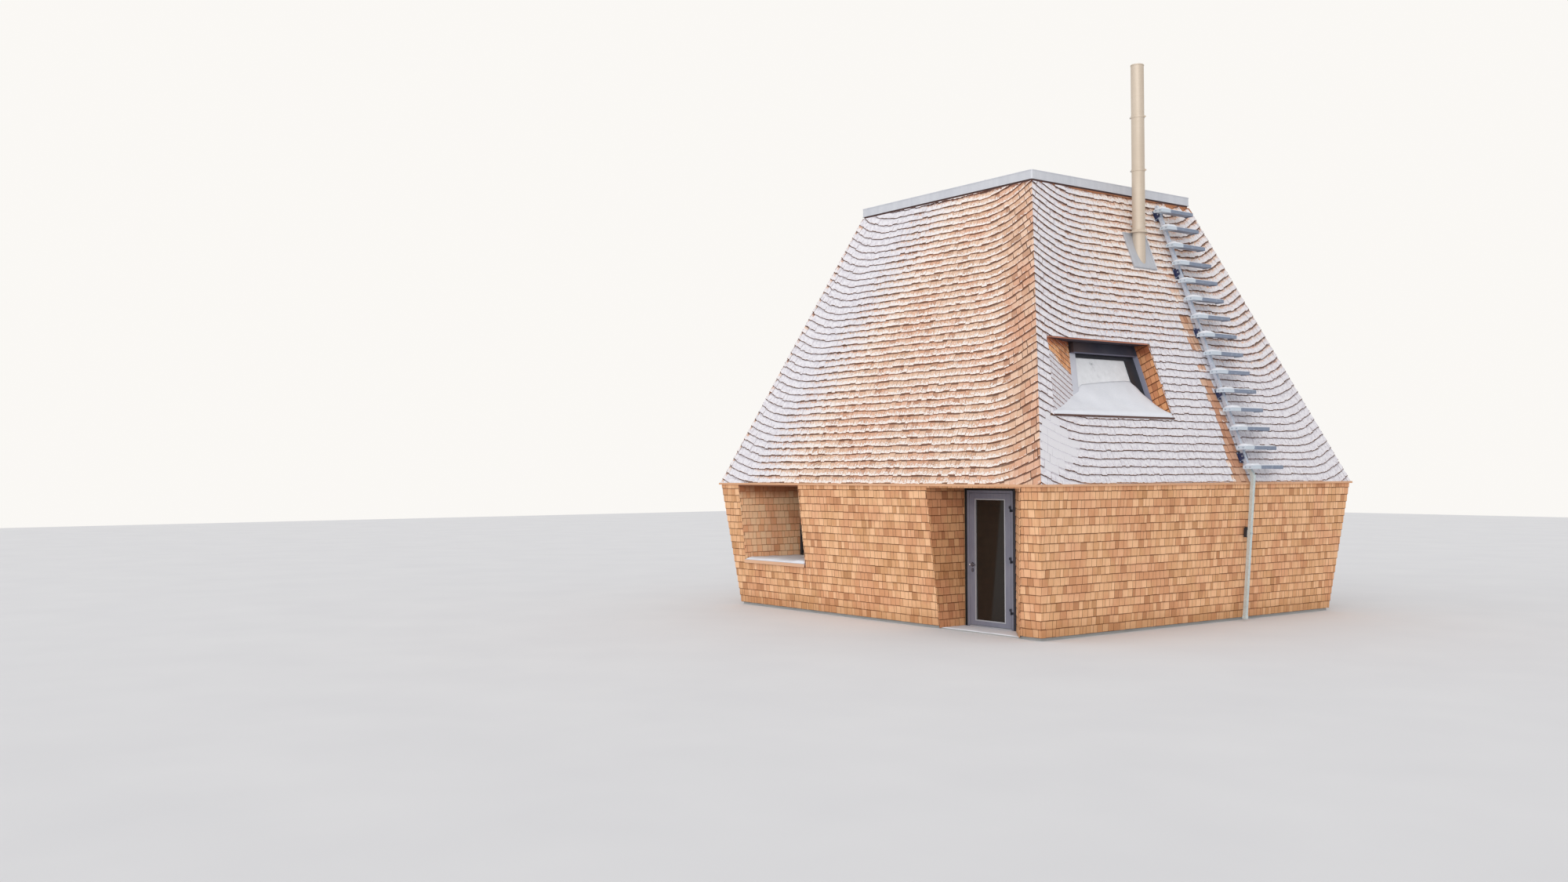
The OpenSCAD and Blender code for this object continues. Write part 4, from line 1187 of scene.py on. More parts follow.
@dataclass
class ShingleField:
    """Courses of shingles on one face."""

    face: Face
    span: Pair
    rise: Pair
    cuts: list[Plane]
    finish: ShingleFinish
    holes: list[list[Plane]] = field(default_factory=list)
    sweep: Sweep | None = None
    snow: Field = lambda s, v: 0.0
    widths: Pair = (0.075, 0.165)
    butt: float = 0.021
    head: float = 0.004
    gap: float = 0.003
    stray: float = 0.003
    seed: int = 1
    ahead: float = 0.02

    @property
    def length(self) -> float:
        """Length of a shingle, most of it under the next courses."""
        return self.finish.exposure * 1.75

    def course(self, s: float, base: float) -> float:
        """Height of a course's butt line at a place along it."""
        v = base
        if self.sweep:
            for _ in range(4):
                v = base + self.sweep.lift(s, v)
        return v

    def clip_index(self, samples: list[Vector]) -> int | None:
        """Which hole edge cuts a shingle.

        Args:
            samples: Points over the shingle.

        Returns:
            Zero for none, a running number for an edge, or None to drop it.
        """
        number = 1
        for hole in self.holes:
            inside = [all(p.beyond(at) < 0 for p in hole) for at in samples]
            if all(inside):
                return None
            if any(inside):
                reach = [max(p.beyond(at) for at in samples) for p in hole]
                return number + reach.index(max(reach))
            number += len(hole)
        return 0

    def points(self) -> bpy.types.Mesh:
        """Lay out one point for every shingle, with its attributes."""
        rng = random.Random(self.seed)
        expose, length = self.finish.exposure, self.length
        rows: list[tuple[Vector, Vector, Vector, float, float, int]] = []
        first = -3 if self.sweep else -1
        last = int((self.rise[1] - self.rise[0]) / expose) + 1
        for k in range(first, last + 1):
            base = self.rise[0] + k * expose
            s = self.span[0] - rng.uniform(0.0, 0.12)
            while s < self.span[1]:
                width = rng.uniform(*self.widths)
                v = self.course(s + width / 2, base)
                next_v = self.course(s + width / 2 + self.ahead, base)
                angle = math.atan2(next_v - v, self.ahead)
                centre = s + width / 2 * math.cos(angle)
                v = self.course(centre, base) + rng.uniform(-1, 1) * self.stray
                s += (width + self.gap) * math.cos(angle)
                side = self.face.along * math.cos(angle) + self.face.up * math.sin(angle)
                up = self.face.up * math.cos(angle) - self.face.along * math.sin(angle)
                foot = self.face.at(centre, v)
                samples = [foot + side * (a * width) + up * (b * length)
                           for a in (-0.5, 0.0, 0.5) for b in (0.0, 0.28, 0.55, 1.0)]
                if any(all(p.beyond(at) > 0 for at in samples) for p in self.cuts):
                    continue
                index = self.clip_index(samples)
                if index is None:
                    continue
                turn = Matrix((side, up, self.face.out)).transposed().to_euler("XYZ")
                size = Vector((width, 1.0, rng.uniform(0.93, 1.05)))
                rows.append((foot, Vector(turn), size, rng.random(), self.snow(centre, v), index))
        mesh = bpy.data.meshes.new("points")
        mesh.from_pydata([row[0] for row in rows], [], [])
        for place, (name, kind) in enumerate((
                ("turn", "FLOAT_VECTOR"), ("size", "FLOAT_VECTOR"),
                ("tone", "FLOAT"), ("snow", "FLOAT"), ("clip", "INT")), start=1):
            layer = mesh.attributes.new(name, kind, "POINT")
            if kind == "FLOAT_VECTOR":
                layer.data.foreach_set("vector", [c for row in rows for c in row[place]])
            else:
                layer.data.foreach_set("value", [row[place] for row in rows])
        return mesh

    def cut(self, mesh: bpy.types.Mesh) -> None:
        """Trim the shingles at the face's borders and at its holes."""
        bm = bmesh.new()
        bm.from_mesh(mesh)
        clip = bm.verts.layers.int["clip"]
        inward = [Plane(p.at, -p.normal) for hole in self.holes for p in hole]
        for p, group in [(p, 0) for p in self.cuts] + [(p, i + 1) for i, p in enumerate(inward)]:
            verts = [v for v in bm.verts if not group or v[clip] == group]
            edges = {e for v in verts for e in v.link_edges}
            faces = {f for v in verts for f in v.link_faces}
            bmesh.ops.bisect_plane(
                bm, geom=verts + list(edges) + list(faces), dist=1e-6,
                plane_co=p.at, plane_no=p.normal, clear_outer=True)
            rim = [e for e in bm.edges if e.is_boundary]
            bmesh.ops.holes_fill(bm, edges=rim, sides=0)
        bm.to_mesh(mesh)
        bm.free()

    def build(self, tree: ShingleTree) -> bpy.types.Mesh:
        """Lay and trim the field."""
        sizes = {"Length": self.length, "Butt": self.butt, "Head": self.head}
        mesh = tree.run(self.points(), sizes, self.finish)
        self.cut(mesh)
        return mesh


def clad(name: str, tree: ShingleTree, *fields: ShingleField) -> None:
    """Lay shingle fields of one finish as one piece of the building."""
    meshes = [part.build(tree) for part in fields]
    if len(meshes) > 1:
        bm = bmesh.new()
        for mesh in meshes:
            bm.from_mesh(mesh)
        bm.to_mesh(meshes[0])
        bm.free()
    settle(name, meshes[0], fields[0].finish, "shingles")


def ramp(value: float, low: float, high: float) -> float:
    """Rise from 0 at low to 1 at high, smoothly."""
    t = min(1.0, max(0.0, (value - low) / (high - low)))
    return t * t * (3 - 2 * t)


@dataclass
class RoofCladding:
    """Swept shingle courses on the four slopes, and where snow lies on them."""

    inset_sill: float = 3.47
    inset_head: float = 4.79
    inset_k: float = 0.41 / 1.29
    inset_right: float = -0.455
    reveal: float = 0.014
    ladder: float = 5.23
    tapering: float = 0.03
    sweeps: tuple[tuple[Point, Point], ...] = (
        ((0.158, 1.2, 0.25), (0.2, 1.25, 0.3)), ((0.19, 1.25, 0.2), (0.2, 1.1, 0.3)),
        ((0.19, 1.2, 0.3), (0.19, 1.2, 0.3)), ((0.19, 1.2, 0.3), (0.19, 1.2, 0.3)))
    drift_rim: Profile = (
        (0.51, 1.17), (0.76, 1.15), (0.84, 0.86), (1.11, 0.65),
        (1.02, 0.44), (0.75, 0.31), (0.44, 0.15), (0.15, 0.28))

    def window_hole(self, quarter: int) -> list[Plane]:
        """The edges of the inset window's opening."""
        low, r = self.inset_sill, self.reveal
        edges = [
            plane((WINDOW_LEFT_X - self.inset_k * self.tapering + r, 0, low), (-1, 0, self.inset_k)),
            plane((self.inset_right - r, 0, low), (1, 0, 0)), *levels(low, self.inset_head)]
        return [p.turned(quarter) for p in edges]

    def door_side_snow(self, s: float, v: float) -> float:
        """Snow on the slope over the door, bare towards the near hip."""
        hip = HALF_X - s - ROOF_BACK - HIP_TAPER * v
        if s + HALF_X - ROOF_BACK - HIP_TAPER * v < 0.06:
            return 0.75
        middle = 6.0 - 0.87 * v
        dusting = 0.43 * ramp(hip, 0.35, 0.9)
        return max(ramp(hip, middle - 2.8, middle + 2.8), dusting)

    def ladder_side_snow(self, s: float, v: float) -> float:
        """Snow on the slope with the ladder: a bare strip, and a drift at the near foot."""
        near = s + HALF_Y
        hip = near - ROOF_BACK - HIP_TAPER * v
        if self.drift(near, v):
            return 1.35
        if v > 5.57 - 0.13 * ramp(hip, 0.1, 1.2):
            return -0.7
        wide = 0.09 + 0.08 * ramp(0.9 - v, 0.0, 0.9)
        strip = 1.0 - ramp(abs(near - self.ladder + 0.20), wide, wide + 0.07)
        patchy = 0.5 + 0.5 * math.sin(v * 9.0) * math.sin(v * 4.1 + 1.0)
        strip *= 1.0 if v < 1.9 else (1.0 - ramp(v, 3.3, 4.2)) * ramp(patchy, 0.25, 0.75)
        worn = ramp(v, 2.2, 4.6) * ramp(hip, 0.4, 2.2) * (1.0 - 0.7 * ramp(hip, 3.2, 4.4))
        open_snow = 0.98 - 0.24 * worn - 0.10 * ramp(v, 1.2, 2.6)
        open_snow -= 0.04 * ramp(near, self.ladder, self.ladder + 0.5)
        return open_snow * (1.0 - strip) - 0.2 * strip

    def drift(self, near: float, v: float) -> bool:
        """Tell whether a place lies in the smooth drift at the near foot."""
        inside = False
        for i, (x0, y0) in enumerate(self.drift_rim):
            x1, y1 = self.drift_rim[i - 1]
            if (y0 > v) != (y1 > v) and near < (x1 - x0) * (v - y0) / (y1 - y0) + x0:
                inside = not inside
        return inside

    def hidden_snow(self, s: float, v: float) -> float:
        """Snow on the two sides that face away."""
        return 0.88 + 0.08 * math.sin(s * 1.7 + v)

    def build(self, tree: ShingleTree) -> None:
        """Lay the four slopes."""
        snows = (self.door_side_snow, self.ladder_side_snow, self.hidden_snow, self.hidden_snow)
        slope = (ROOF_TOP_Z - EAVE_Z) * SLANT
        for quarter, (name, snow) in enumerate(zip(SIDES, snows)):
            half = extents(quarter)[0] - ROOF_BACK
            cuts = mitres(quarter) + levels(EAVE_Z, ROOF_TOP_Z)
            clad(f"roof_shingles_{name}", tree, ShingleField(
                roof_face(quarter), (-half - 0.1, half + 0.1), (0.0, slope), cuts, ROOF_SHINGLES,
                holes=[self.window_hole(quarter)] if quarter % 2 else [],
                sweep=Sweep(half, ROOF_K / SLANT, *self.sweeps[quarter]),
                snow=snow, stray=(0.014, 0.011)[quarter % 2], seed=10 + quarter))


@dataclass
class WallCladding:
    """Level shingle courses on the four walls."""

    niche_sill: float = 0.893
    door_jamb: float = 1.72
    splay: tuple[Pair, Pair] = ((3.88, -4.20), (2.927, -3.30))
    reveal: float = 0.012
    foot_z: float = PLINTH_Z - 0.012
    head_z: float = EAVE_Z - 0.035
    widths: Pair = (0.06, 0.15)

    def niche_hole(self) -> list[Plane]:
        """The edges of a window niche."""
        r = self.reveal
        return [
            plane((NICHE_SPAN[0] + r, 0, 0), (-1, 0, 0)), plane((NICHE_SPAN[1] - r, 0, 0), (1, 0, 0)),
            *levels(self.niche_sill, EAVE_Z)]

    def door_hole(self) -> list[Plane]:
        """The edges of the door niche."""
        (x0, y0), (x1, y1) = self.splay
        return [
            plane((self.door_jamb + self.reveal, 0, 0), (-1, 0, 0)),
            plane((x0, y0, 0), (y1 - y0, x0 - x1, 0)).moved(-self.reveal),
            plane((0, 0, SOFFIT_Z), (0, 0, 1))]

    def build(self, tree: ShingleTree) -> None:
        """Lay the four walls."""
        for quarter, name in enumerate(SIDES):
            half = extents(quarter)[0]
            cuts = mitres(quarter) + levels(self.foot_z, self.head_z)
            holes = [] if quarter % 2 else [[p.turned(quarter) for p in self.niche_hole()]]
            if quarter == 0:
                holes.append(self.door_hole())
            clad(f"wall_shingles_{name}", tree, ShingleField(
                wall_face(quarter), (-half, half), (self.foot_z, EAVE_Z), cuts, WALL_SHINGLES,
                holes=holes, widths=self.widths, butt=0.019, seed=20 + quarter))


@dataclass
class NicheCladding:
    """Shingles on the sides of the door niche and of the window niches."""

    walls: WallCladding
    butt: float = 0.016
    proud: float = 0.019
    window_start: float = -3.2
    jamb_start: float = -3.6

    def side(self, origin: Point, along: Point, finish: ShingleFinish, quarter: int,
             seed: int) -> ShingleField:
        """One upright side of a niche.

        Args:
            origin: A point on the side at ground level.
            along: Direction along it, seen from inside the niche.
            finish: Its finish, which also tells the window niches from the door's.
            quarter: Quarter turns about the vertical axis.
            seed: Seed of its widths and tones.

        Returns:
            The field of shingles.
        """
        window = finish is LIT_NICHE_SHINGLES
        foot, inner = (NICHE_SILL_Z, NICHE_WINDOW_Y) if window else (STEP_Z, DOOR_Y)
        cuts = [
            wall_face(0).skin(self.proud), plane((0, inner, 0), (0, 1, 0)), *levels(foot, SOFFIT_Z)]
        return ShingleField(
            face(origin, along, (0, 0, 1)).turned(quarter), (-2.2, 2.2), (foot, SOFFIT_Z),
            [p.turned(quarter) for p in cuts], finish, widths=self.walls.widths, butt=self.butt, seed=seed)

    def build(self, tree: ShingleTree) -> None:
        """Clad the sides of every niche in the walls."""
        (x0, y0), (x1, y1) = self.walls.splay
        for quarter in (0, 2):
            clad(f"lit_niche_shingles_{SIDES[quarter]}", tree, *(
                self.side((x, self.window_start, 0), (0, way, 0), LIT_NICHE_SHINGLES, quarter, seed + quarter)
                for x, way, seed in zip(NICHE_SPAN, (1, -1), (51, 52))))
        jamb = (self.walls.door_jamb, self.jamb_start, 0)
        clad("door_jamb_shingles", tree, self.side(jamb, (0, 1, 0), SHADED_JAMB_SHINGLES, 0, 61))
        splay = (x0 - x1, y0 - y1, 0)
        clad("door_splay_shingles", tree, self.side((x1, y1, 0), splay, WALL_SHINGLES, 0, 62))


def slope_y(height: float) -> float:
    """Y at a height on a slope with a roof window, before its quarter turns."""
    return -(HALF_X - ROOF_BACK) + ROOF_K * (height - EAVE_Z)


@dataclass
class WindowCladding:
    """Shingles on the splayed cheek and the straight reveal of the roof windows."""

    roof: RoofCladding
    butt: float = 0.014
    proud: float = 0.018
    depth: float = 0.30
    cheek_depth: float = 0.415
    slant: float = math.radians(17.4)

    def front(self) -> Plane:
        """The plane just over the shingles of the slope."""
        at = (0, slope_y(WINDOW_FOOT_Z), WINDOW_FOOT_Z)
        return plane(at, tuple(roof_face(0).out)).moved(self.proud)

    def bounded(self, quarter: int, planes: list[Plane]) -> list[Plane]:
        """Add the window's foot and head to a side's planes, and turn all to its slope."""
        return [p.turned(quarter) for p in planes + levels(WINDOW_FOOT_Z, WINDOW_HEAD_Z)]

    def reveal(self, quarter: int) -> ShingleField:
        """The straight far reveal."""
        y = slope_y(WINDOW_FOOT_Z)
        origin = (self.roof.inset_right, y, WINDOW_FOOT_Z)
        back = plane((0, y + self.depth, WINDOW_FOOT_Z), tuple(-roof_face(0).out))
        return ShingleField(
            face(origin, (0, -1, ROOF_K), (0, ROOF_K, 1)).turned(quarter), (-0.45, 0.16), (-0.1, 1.5),
            self.bounded(quarter, [self.front(), back]), REVEAL_SHINGLES, widths=(0.085, 0.115),
            butt=self.butt, seed=31 + quarter)

    def cheek(self, quarter: int) -> ShingleField:
        """The long splayed cheek, with slanting courses."""
        edge = Vector((self.roof.inset_k, ROOF_K, 1.0))
        inward = Vector((CHEEK_RUN, self.cheek_depth, 0.0)).normalized()
        level = inward.cross(edge).normalized().cross(inward)
        cos, sin = math.cos(self.slant), math.sin(self.slant)
        origin = Vector((WINDOW_LEFT_X, slope_y(WINDOW_FOOT_Z), WINDOW_FOOT_Z))
        left = plane(tuple(origin), (-1, 0, self.roof.inset_k))
        right = Plane(left.at + Vector((CHEEK_RUN, 0, 0)), -left.normal)

        def cover(s: float, v: float) -> float:
            """Snow on the cheek: bare in the upper inner corner only."""
            inwards = s * cos + v * sin
            height = WINDOW_FOOT_Z + (v * cos - s * sin) * level.z
            bare = height - (WINDOW_HEAD_Z - 0.50 * inwards / 1.05)
            return 0.93 - 0.93 * ramp(bare, -0.06, 0.05)

        return ShingleField(
            Face(origin, inward * cos - level * sin, inward * sin + level * cos).turned(quarter),
            (-1.6, 2.4), (-0.8, 2.4), self.bounded(quarter, [left, right, self.front()]), CHEEK_SHINGLES,
            snow=cover, butt=self.butt, seed=41 + quarter)

    def build(self, tree: ShingleTree) -> None:
        """Clad both roof windows."""
        for quarter in (1, 3):
            clad(f"roof_window_reveal_{SIDES[quarter]}", tree, self.reveal(quarter))
            clad(f"roof_window_cheek_{SIDES[quarter]}", tree, self.cheek(quarter))


@dataclass
class RoofLadder:
    """Fittings of the roof ladder and its mast.

    A ring across the mast is its height, how far it reaches from the middle inwards and outwards,
    and half its width. Rings of the clamp and the strap count from the clamp's height.
    """

    spine_y: float = 1.03
    bar: float = 0.06
    tread_first: float = 0.24
    tread_pitch: float = 0.335
    treads: int = 15
    tread_span: Pair = (0.83, 1.72)
    tread_depth: Pair = (0.1315, 0.3215)
    tread_t: float = 0.045
    edge_t: float = 0.004
    edge_drop: float = 0.012
    lip_drop: float = 0.010
    lip_rise: float = 0.006
    tread_bolt_inset: float = 0.05
    tread_bolt_rise: float = 0.022
    tread_bolt_out: float = 0.005
    snow_split: float = 1.10
    deep_snow: float = 0.045
    thin_snow: float = 0.024
    bracket_first: float = 0.42
    bracket_pitch: float = 1.115
    brackets: int = 5
    foot_plate: Pair = (0.085, 0.10)
    foot_lift: float = 0.022
    foot_t: float = 0.006
    foot_bolts: Pair = (0.068, 0.08)
    foot_bolt_lift: float = 0.029
    ear_out: float = 0.051
    ear_t: float = 0.004
    ear: Profile = ((-0.07, 0.02), (0.07, 0.02), (0.05, 0.118), (-0.05, 0.118))
    ear_bolt: Pair = (0.056, 0.092)
    mast_foot: Point = (4.165, 1.03, 0.04)
    mast_top: Point = (4.36, 1.03, 2.53)
    clamp: float = 1.43
    clamp_rings: tuple[Quad, Quad] = (
        (-0.018, -0.094, -0.0305, 0.041), (0.142, -0.094, -0.0305, 0.041))
    clamp_lid: tuple[Quad, Quad] = ((0.142, -0.090, -0.034, 0.034), (0.154, -0.086, -0.038, 0.028))
    strap_rings: tuple[Quad, Quad] = ((0.03, 0.0305, 0.0345, 0.0348), (0.085, 0.0305, 0.0345, 0.0348))
    strap_sides: tuple[Quad, Quad] = ((0.03, -0.034, 0.0345, 0.002), (0.085, -0.034, 0.0345, 0.002))
    strap_side_out: float = 0.0328
    strap_bolt: Point = (0.058, 0.0345, 0.024)
    collar_rings: tuple[Quad, ...] = (
        (0.0, -0.036, 0.036, 0.036), (0.05, -0.036, 0.036, 0.036), (0.056, -0.032, 0.032, 0.032))
    bend_start: float = 0.06
    bend_end: float = 0.30
    spine_lift: float = 0.0988
    bend_steps: int = 12
    sleeve: float = 0.0015

    def face_x(self, height: float) -> float:
        """X of the slope's face at a height above the eave."""
        return HALF_X - ROOF_BACK - ROOF_K * height

    def build(self, bolts: BoltTree, snow: SettledSnow) -> None:
        """Make the fittings."""
        self.tread_parts(bolts, snow)
        self.bracket_parts(bolts)
        self.mast_parts(bolts)

    def tread_parts(self, bolts: BoltTree, snow: SettledSnow) -> None:
        """End plates, front lips and snow of the treads, and the bolts that hold them."""
        plates, crust, spots = Shape(), Shape(), []
        (y0, y1), t = self.tread_span, self.edge_t
        for i in range(self.treads):
            height = self.tread_first + i * self.tread_pitch
            z = EAVE_Z + height
            top = z + self.tread_t
            a, b = (self.face_x(height) + depth for depth in self.tread_depth)
            for end in (y0 - t, y1):
                plates.box((a, end, z - self.edge_drop), (b, end + t, top + t))
            plates.box((b - t, y0, z - self.lip_drop), (b, y1, z))
            plates.box((b - t, y0, top), (b, y1, top + self.lip_rise))
            snow.cushion((a + 0.01, y0 + 0.01), (b - t, self.snow_split), top, self.deep_snow, crust)
            snow.cushion((a + 0.03, self.snow_split), (b - 0.012, y1 - 0.015), top, self.thin_snow, crust)
            for x in (a + self.tread_bolt_inset, b - self.tread_bolt_inset):
                for y, way in ((y0 - self.tread_bolt_out, -1), (y1 + self.tread_bolt_out, 1)):
                    spots.append((Vector((x, y, z + self.tread_bolt_rise)), Vector((0, way, 0))))
        plates.piece("ladder_tread_edges", TREADS, "galvanised", 0.001)
        crust.smooth().piece("ladder_snow", SNOW)
        bolts.fix("ladder_tread_bolts", spots, 0.009, GALVANISED, "galvanised")

    def bracket_parts(self, bolts: BoltTree) -> None:
        """Foot plates of the brackets on the shingles, their ears and their bolts; plates and ears are
        painted dark navy as shaded under the spine.
        """
        slope, y = roof_face(1), self.spine_y
        plates, spots = Shape(), []
        for i in range(self.brackets):
            v = (self.bracket_first + i * self.bracket_pitch) * SLANT
            ring = [slope.at(y + a, v + b, self.foot_lift) for a, b in rectangle(*self.foot_plate)]
            plates.prism(ring, slope.out * self.foot_t)
            bolt_a, bolt_b = self.foot_bolts
            spots += [(slope.at(y + a, v + b, self.foot_bolt_lift), slope.out)
                      for a in (-bolt_a, bolt_a) for b in (-bolt_b, bolt_b)]
            for side in (-1, 1):
                ring = [slope.at(y + side * self.ear_out, v + a, b) for a, b in self.ear]
                plates.prism(ring, slope.along * (side * self.ear_t))
                out, rise = self.ear_bolt
                spots.append((slope.at(y + side * out, v, rise), slope.along * side))
        plates.piece("ladder_bracket_plates", SHADED_BRACKET_NAVY, "galvanised", 0.001)
        bolts.fix("ladder_bracket_bolts", spots, 0.010, GALVANISED, "galvanised")

    def mast_parts(self, bolts: BoltTree) -> None:
        """The clamp behind the mast with its strap, the foot collar and the upper bend."""
        foot = Vector(self.mast_foot)
        run = (Vector(self.mast_top) - foot).normalized()
        side = Vector((0, 1, 0))
        out = side.cross(run)

        def rings(rows: tuple[Quad, ...], start: float, off: float = 0.0) -> list[list[Vector]]:
            """Rectangles across the mast, moved sideways where a distance is given."""
            made = []
            for at, inner, outer, half in rows:
                middle = foot + run * (start + at) + side * off
                made.append([middle + out * a + side * b for a, b in (
                    (inner, -half), (outer, -half), (outer, half), (inner, half))])
            return made

        block = Shape().loft(rings(self.clamp_rings, self.clamp)).loft(rings(self.clamp_lid, self.clamp))
        block.piece("mast_clamp", CLAMP_BLACK, "galvanised", 0.0015)
        strap, spots = Shape().loft(rings(self.strap_rings, self.clamp)), []
        rise, lift, off = self.strap_bolt
        for way in (-1, 1):
            strap.loft(rings(self.strap_sides, self.clamp, way * self.strap_side_out))
            spots.append((foot + run * (self.clamp + rise) + out * lift + side * (way * off), out))
        strap.piece("mast_strap", MAST_STEEL, "galvanised", 0.0008)
        bolts.fix("mast_clamp_bolts", spots, 0.008, GALVANISED, "galvanised")
        collar = Shape().loft(rings(self.collar_rings, 0.0))
        collar.piece("mast_foot_collar", MAST_STEEL, "galvanised", 0.001)
        self.bend(run, side)

    def bend(self, run: Vector, side: Vector) -> None:
        """The bar that curves from the mast into the spine.

        Args:
            run: Direction of the mast.
            side: Direction along the wall.
        """
        lean = Vector((-ROOF_K, 0, 1)).normalized()
        p0 = Vector(self.mast_top) - run * self.bend_start
        p3 = Vector((self.face_x(self.bend_end) + self.spine_lift, self.spine_y, EAVE_Z + self.bend_end))
        reach = (p3 - p0).length / 3
        p1, p2 = p0 + run * reach, p3 - lean * reach
        half = self.bar / 2 + self.sleeve
        rings = []
        for i in range(self.bend_steps + 1):
            t = i / self.bend_steps
            u = 1 - t
            place = p0 * u ** 3 + p1 * (3 * t * u ** 2) + p2 * (3 * t * t * u) + p3 * t ** 3
            way = ((p1 - p0) * u ** 2 + (p2 - p1) * (2 * t * u) + (p3 - p2) * t * t).normalized()
            across = side.cross(way)
            rings.append([place + across * a + side * b for a, b in rectangle(half, half)])
        Shape().loft(rings).piece("mast_bend", MAST_STEEL, "galvanised", 0.002)


@dataclass
class DoorFittings:
    """Seals, hinge screws, handle plates and glass edge of the door."""

    frame: Quad = (1.785, 2.87, STEP_Z, 2.312)
    seal_t: float = 0.0025
    seal_lock: float = 0.010
    seal_hinge: float = 0.020
    seal_head: float = 0.024
    hinge_x: float = 2.8015
    hinge_zs: Point = (0.275, 1.108, 1.941)
    screw_out: Pair = (0.020, 0.034)
    leaf_screws: Pair = (0.063, 0.087)
    frame_screws: Pair = (0.012, 0.036)
    screw_proud: float = 0.0035
    handle: Pair = (1.922, 1.05)
    handle_plate: float = 0.0275
    lock_plate: float = 0.0235
    plate_rim: float = 0.008
    lock_drop: float = 0.092
    cap_out: float = 0.0675
    cap: Profile = ((0.001, 0.0), (0.0125, 0.0), (0.0125, 0.004), (0.009, 0.007), (0.001, 0.007))
    glass: Quad = (1.988, 2.667, 0.129, 2.141)
    glass_edge: Profile = ((0.0, 0.0005), (0.009, 0.0005), (0.009, 0.003), (0.0, 0.0055))

    def build(self, bolts: BoltTree) -> None:
        """Make the fittings."""
        x0, x1, z0, z1 = self.frame
        y, low_y, head = DOOR_Y, DOOR_Y - self.seal_t, z1 - self.seal_head
        seal = Shape().box((x1 - self.seal_hinge, low_y, z0), (x1, y, head))
        seal.box((x0, low_y, head), (x1, y, z1)).box((x0, low_y, z0), (x0 + self.seal_lock, y, head))
        seal.piece("door_frame_seal", GASKET_AND_SHADE_BLACK, "black_frame", 0.0008)
        for name, body, side, rises in (("door_hinge_screws", "door", -1, self.leaf_screws),
                                        ("frame_hinge_screws", "building", 1, self.frame_screws)):
            spots = [(Vector((self.hinge_x + side * dx, y - self.screw_proud, z + rise)), Vector((0, -1, 0)))
                     for z in self.hinge_zs for dx in self.screw_out for rise in rises]
            bolts.fix(name, spots, 0.0032, HINGE_STEEL, "stainless", body)
        self.handle_parts()
        g0, g1, g2, g3 = self.glass
        leaf = upright(y)
        strip = Shape().hoop(border(leaf, (g0, g2), (g1, g3)), leaf.out, self.glass_edge)
        strip.piece("door_glass_edge", GREY_SHEET, "grey_sheet", body="door")

    def handle_parts(self) -> None:
        """Round plates under the handle and the lock, and the cap on the handle's end, painted nearly white
        as a highlight.
        """
        x, z = self.handle
        plates = Shape()
        for radius, height in ((self.handle_plate, z), (self.lock_plate, z - self.lock_drop)):
            rim = radius + self.plate_rim
            plates.lathe((x, DOOR_Y, height), (0, -1, 0), [
                (radius, 0.0005), (rim, 0.0005), (rim, 0.004), (radius, 0.008)], 28)
        plates.piece("door_handle_plates", HINGE_STEEL, "stainless", body="door")
        # Painted highlight: the cap is nearly white
        cap = Shape().lathe((x, DOOR_Y - self.cap_out, z + 0.001), (0, -1, 0), self.cap, 24)
        cap.piece("door_handle_cap", HIGHLIGHT_STEEL, "stainless", body="door")


@dataclass
class NicheFittings:
    """Gaskets, nosings, head boards and flashings of the window niches; boards and flashings take painted
    shade.
    """

    nosing_y: Pair = (-4.0214, -4.0174)
    nosing_z: Pair = (0.838, 0.900)
    head_y: Pair = (-4.158, -4.1502)
    head_z: Pair = (2.3405, 2.366)
    glass: Quad = (-3.61, -1.83, 0.975, 2.27)
    gasket: Profile = (
        (-0.008, -0.028), (0.0, -0.028), (0.0, 0.0), (0.006, 0.0), (0.006, 0.003), (-0.008, -0.004))
    flashing_start: float = -3.95
    flashing_x: Pair = (0.015, 0.021)
    side_rise: float = 0.035
    back_rise: float = 0.04
    flashing_t: float = 0.006

    def build(self) -> None:
        """Make the fittings of both niches."""
        (x0, x1), z, back = NICHE_SPAN, NICHE_SILL_Z, NICHE_WINDOW_Y
        f0, f1 = (x0 + inset for inset in self.flashing_x)
        g0, g1, g2, g3 = self.glass
        pane = upright(back)
        for quarter in (0, 2):
            nosing = Shape().box((x0 + 0.002, self.nosing_y[0], self.nosing_z[0]),
                                 (x1 - 0.002, self.nosing_y[1], self.nosing_z[1]))
            # Head board painted dark, for the shade under the eave
            head = Shape().box((x0, self.head_y[0], self.head_z[0]), (x1, self.head_y[1], self.head_z[1]))
            seal = Shape().hoop(border(pane, (g0, g2), (g1, g3)), pane.out, self.gasket)
            # Black strip along the lining's foot: painted shade where the lining meets the sill
            flashing = Shape().box((f0, self.flashing_start, z), (f1, back, z + self.side_rise))
            flashing.box((f1, back - self.flashing_t, z), (x1 - 0.02, back, z + self.back_rise))
            for part, shape, finish, slot, bevel in (
                    ("nosing", nosing, NOSING_TIMBER, "eave_timber", 0.002),
                    ("head", head, SHADED_HEAD_TIMBER, "eave_timber", 0.001),
                    ("window_seal", seal, GASKET_AND_SHADE_BLACK, "black_frame", 0.0),
                    ("flashing", flashing, BLACK_FRAME, "black_frame", 0.001)):
                shape.turned(quarter).piece(f"niche_{part}_{SIDES[quarter]}", finish, slot, bevel)


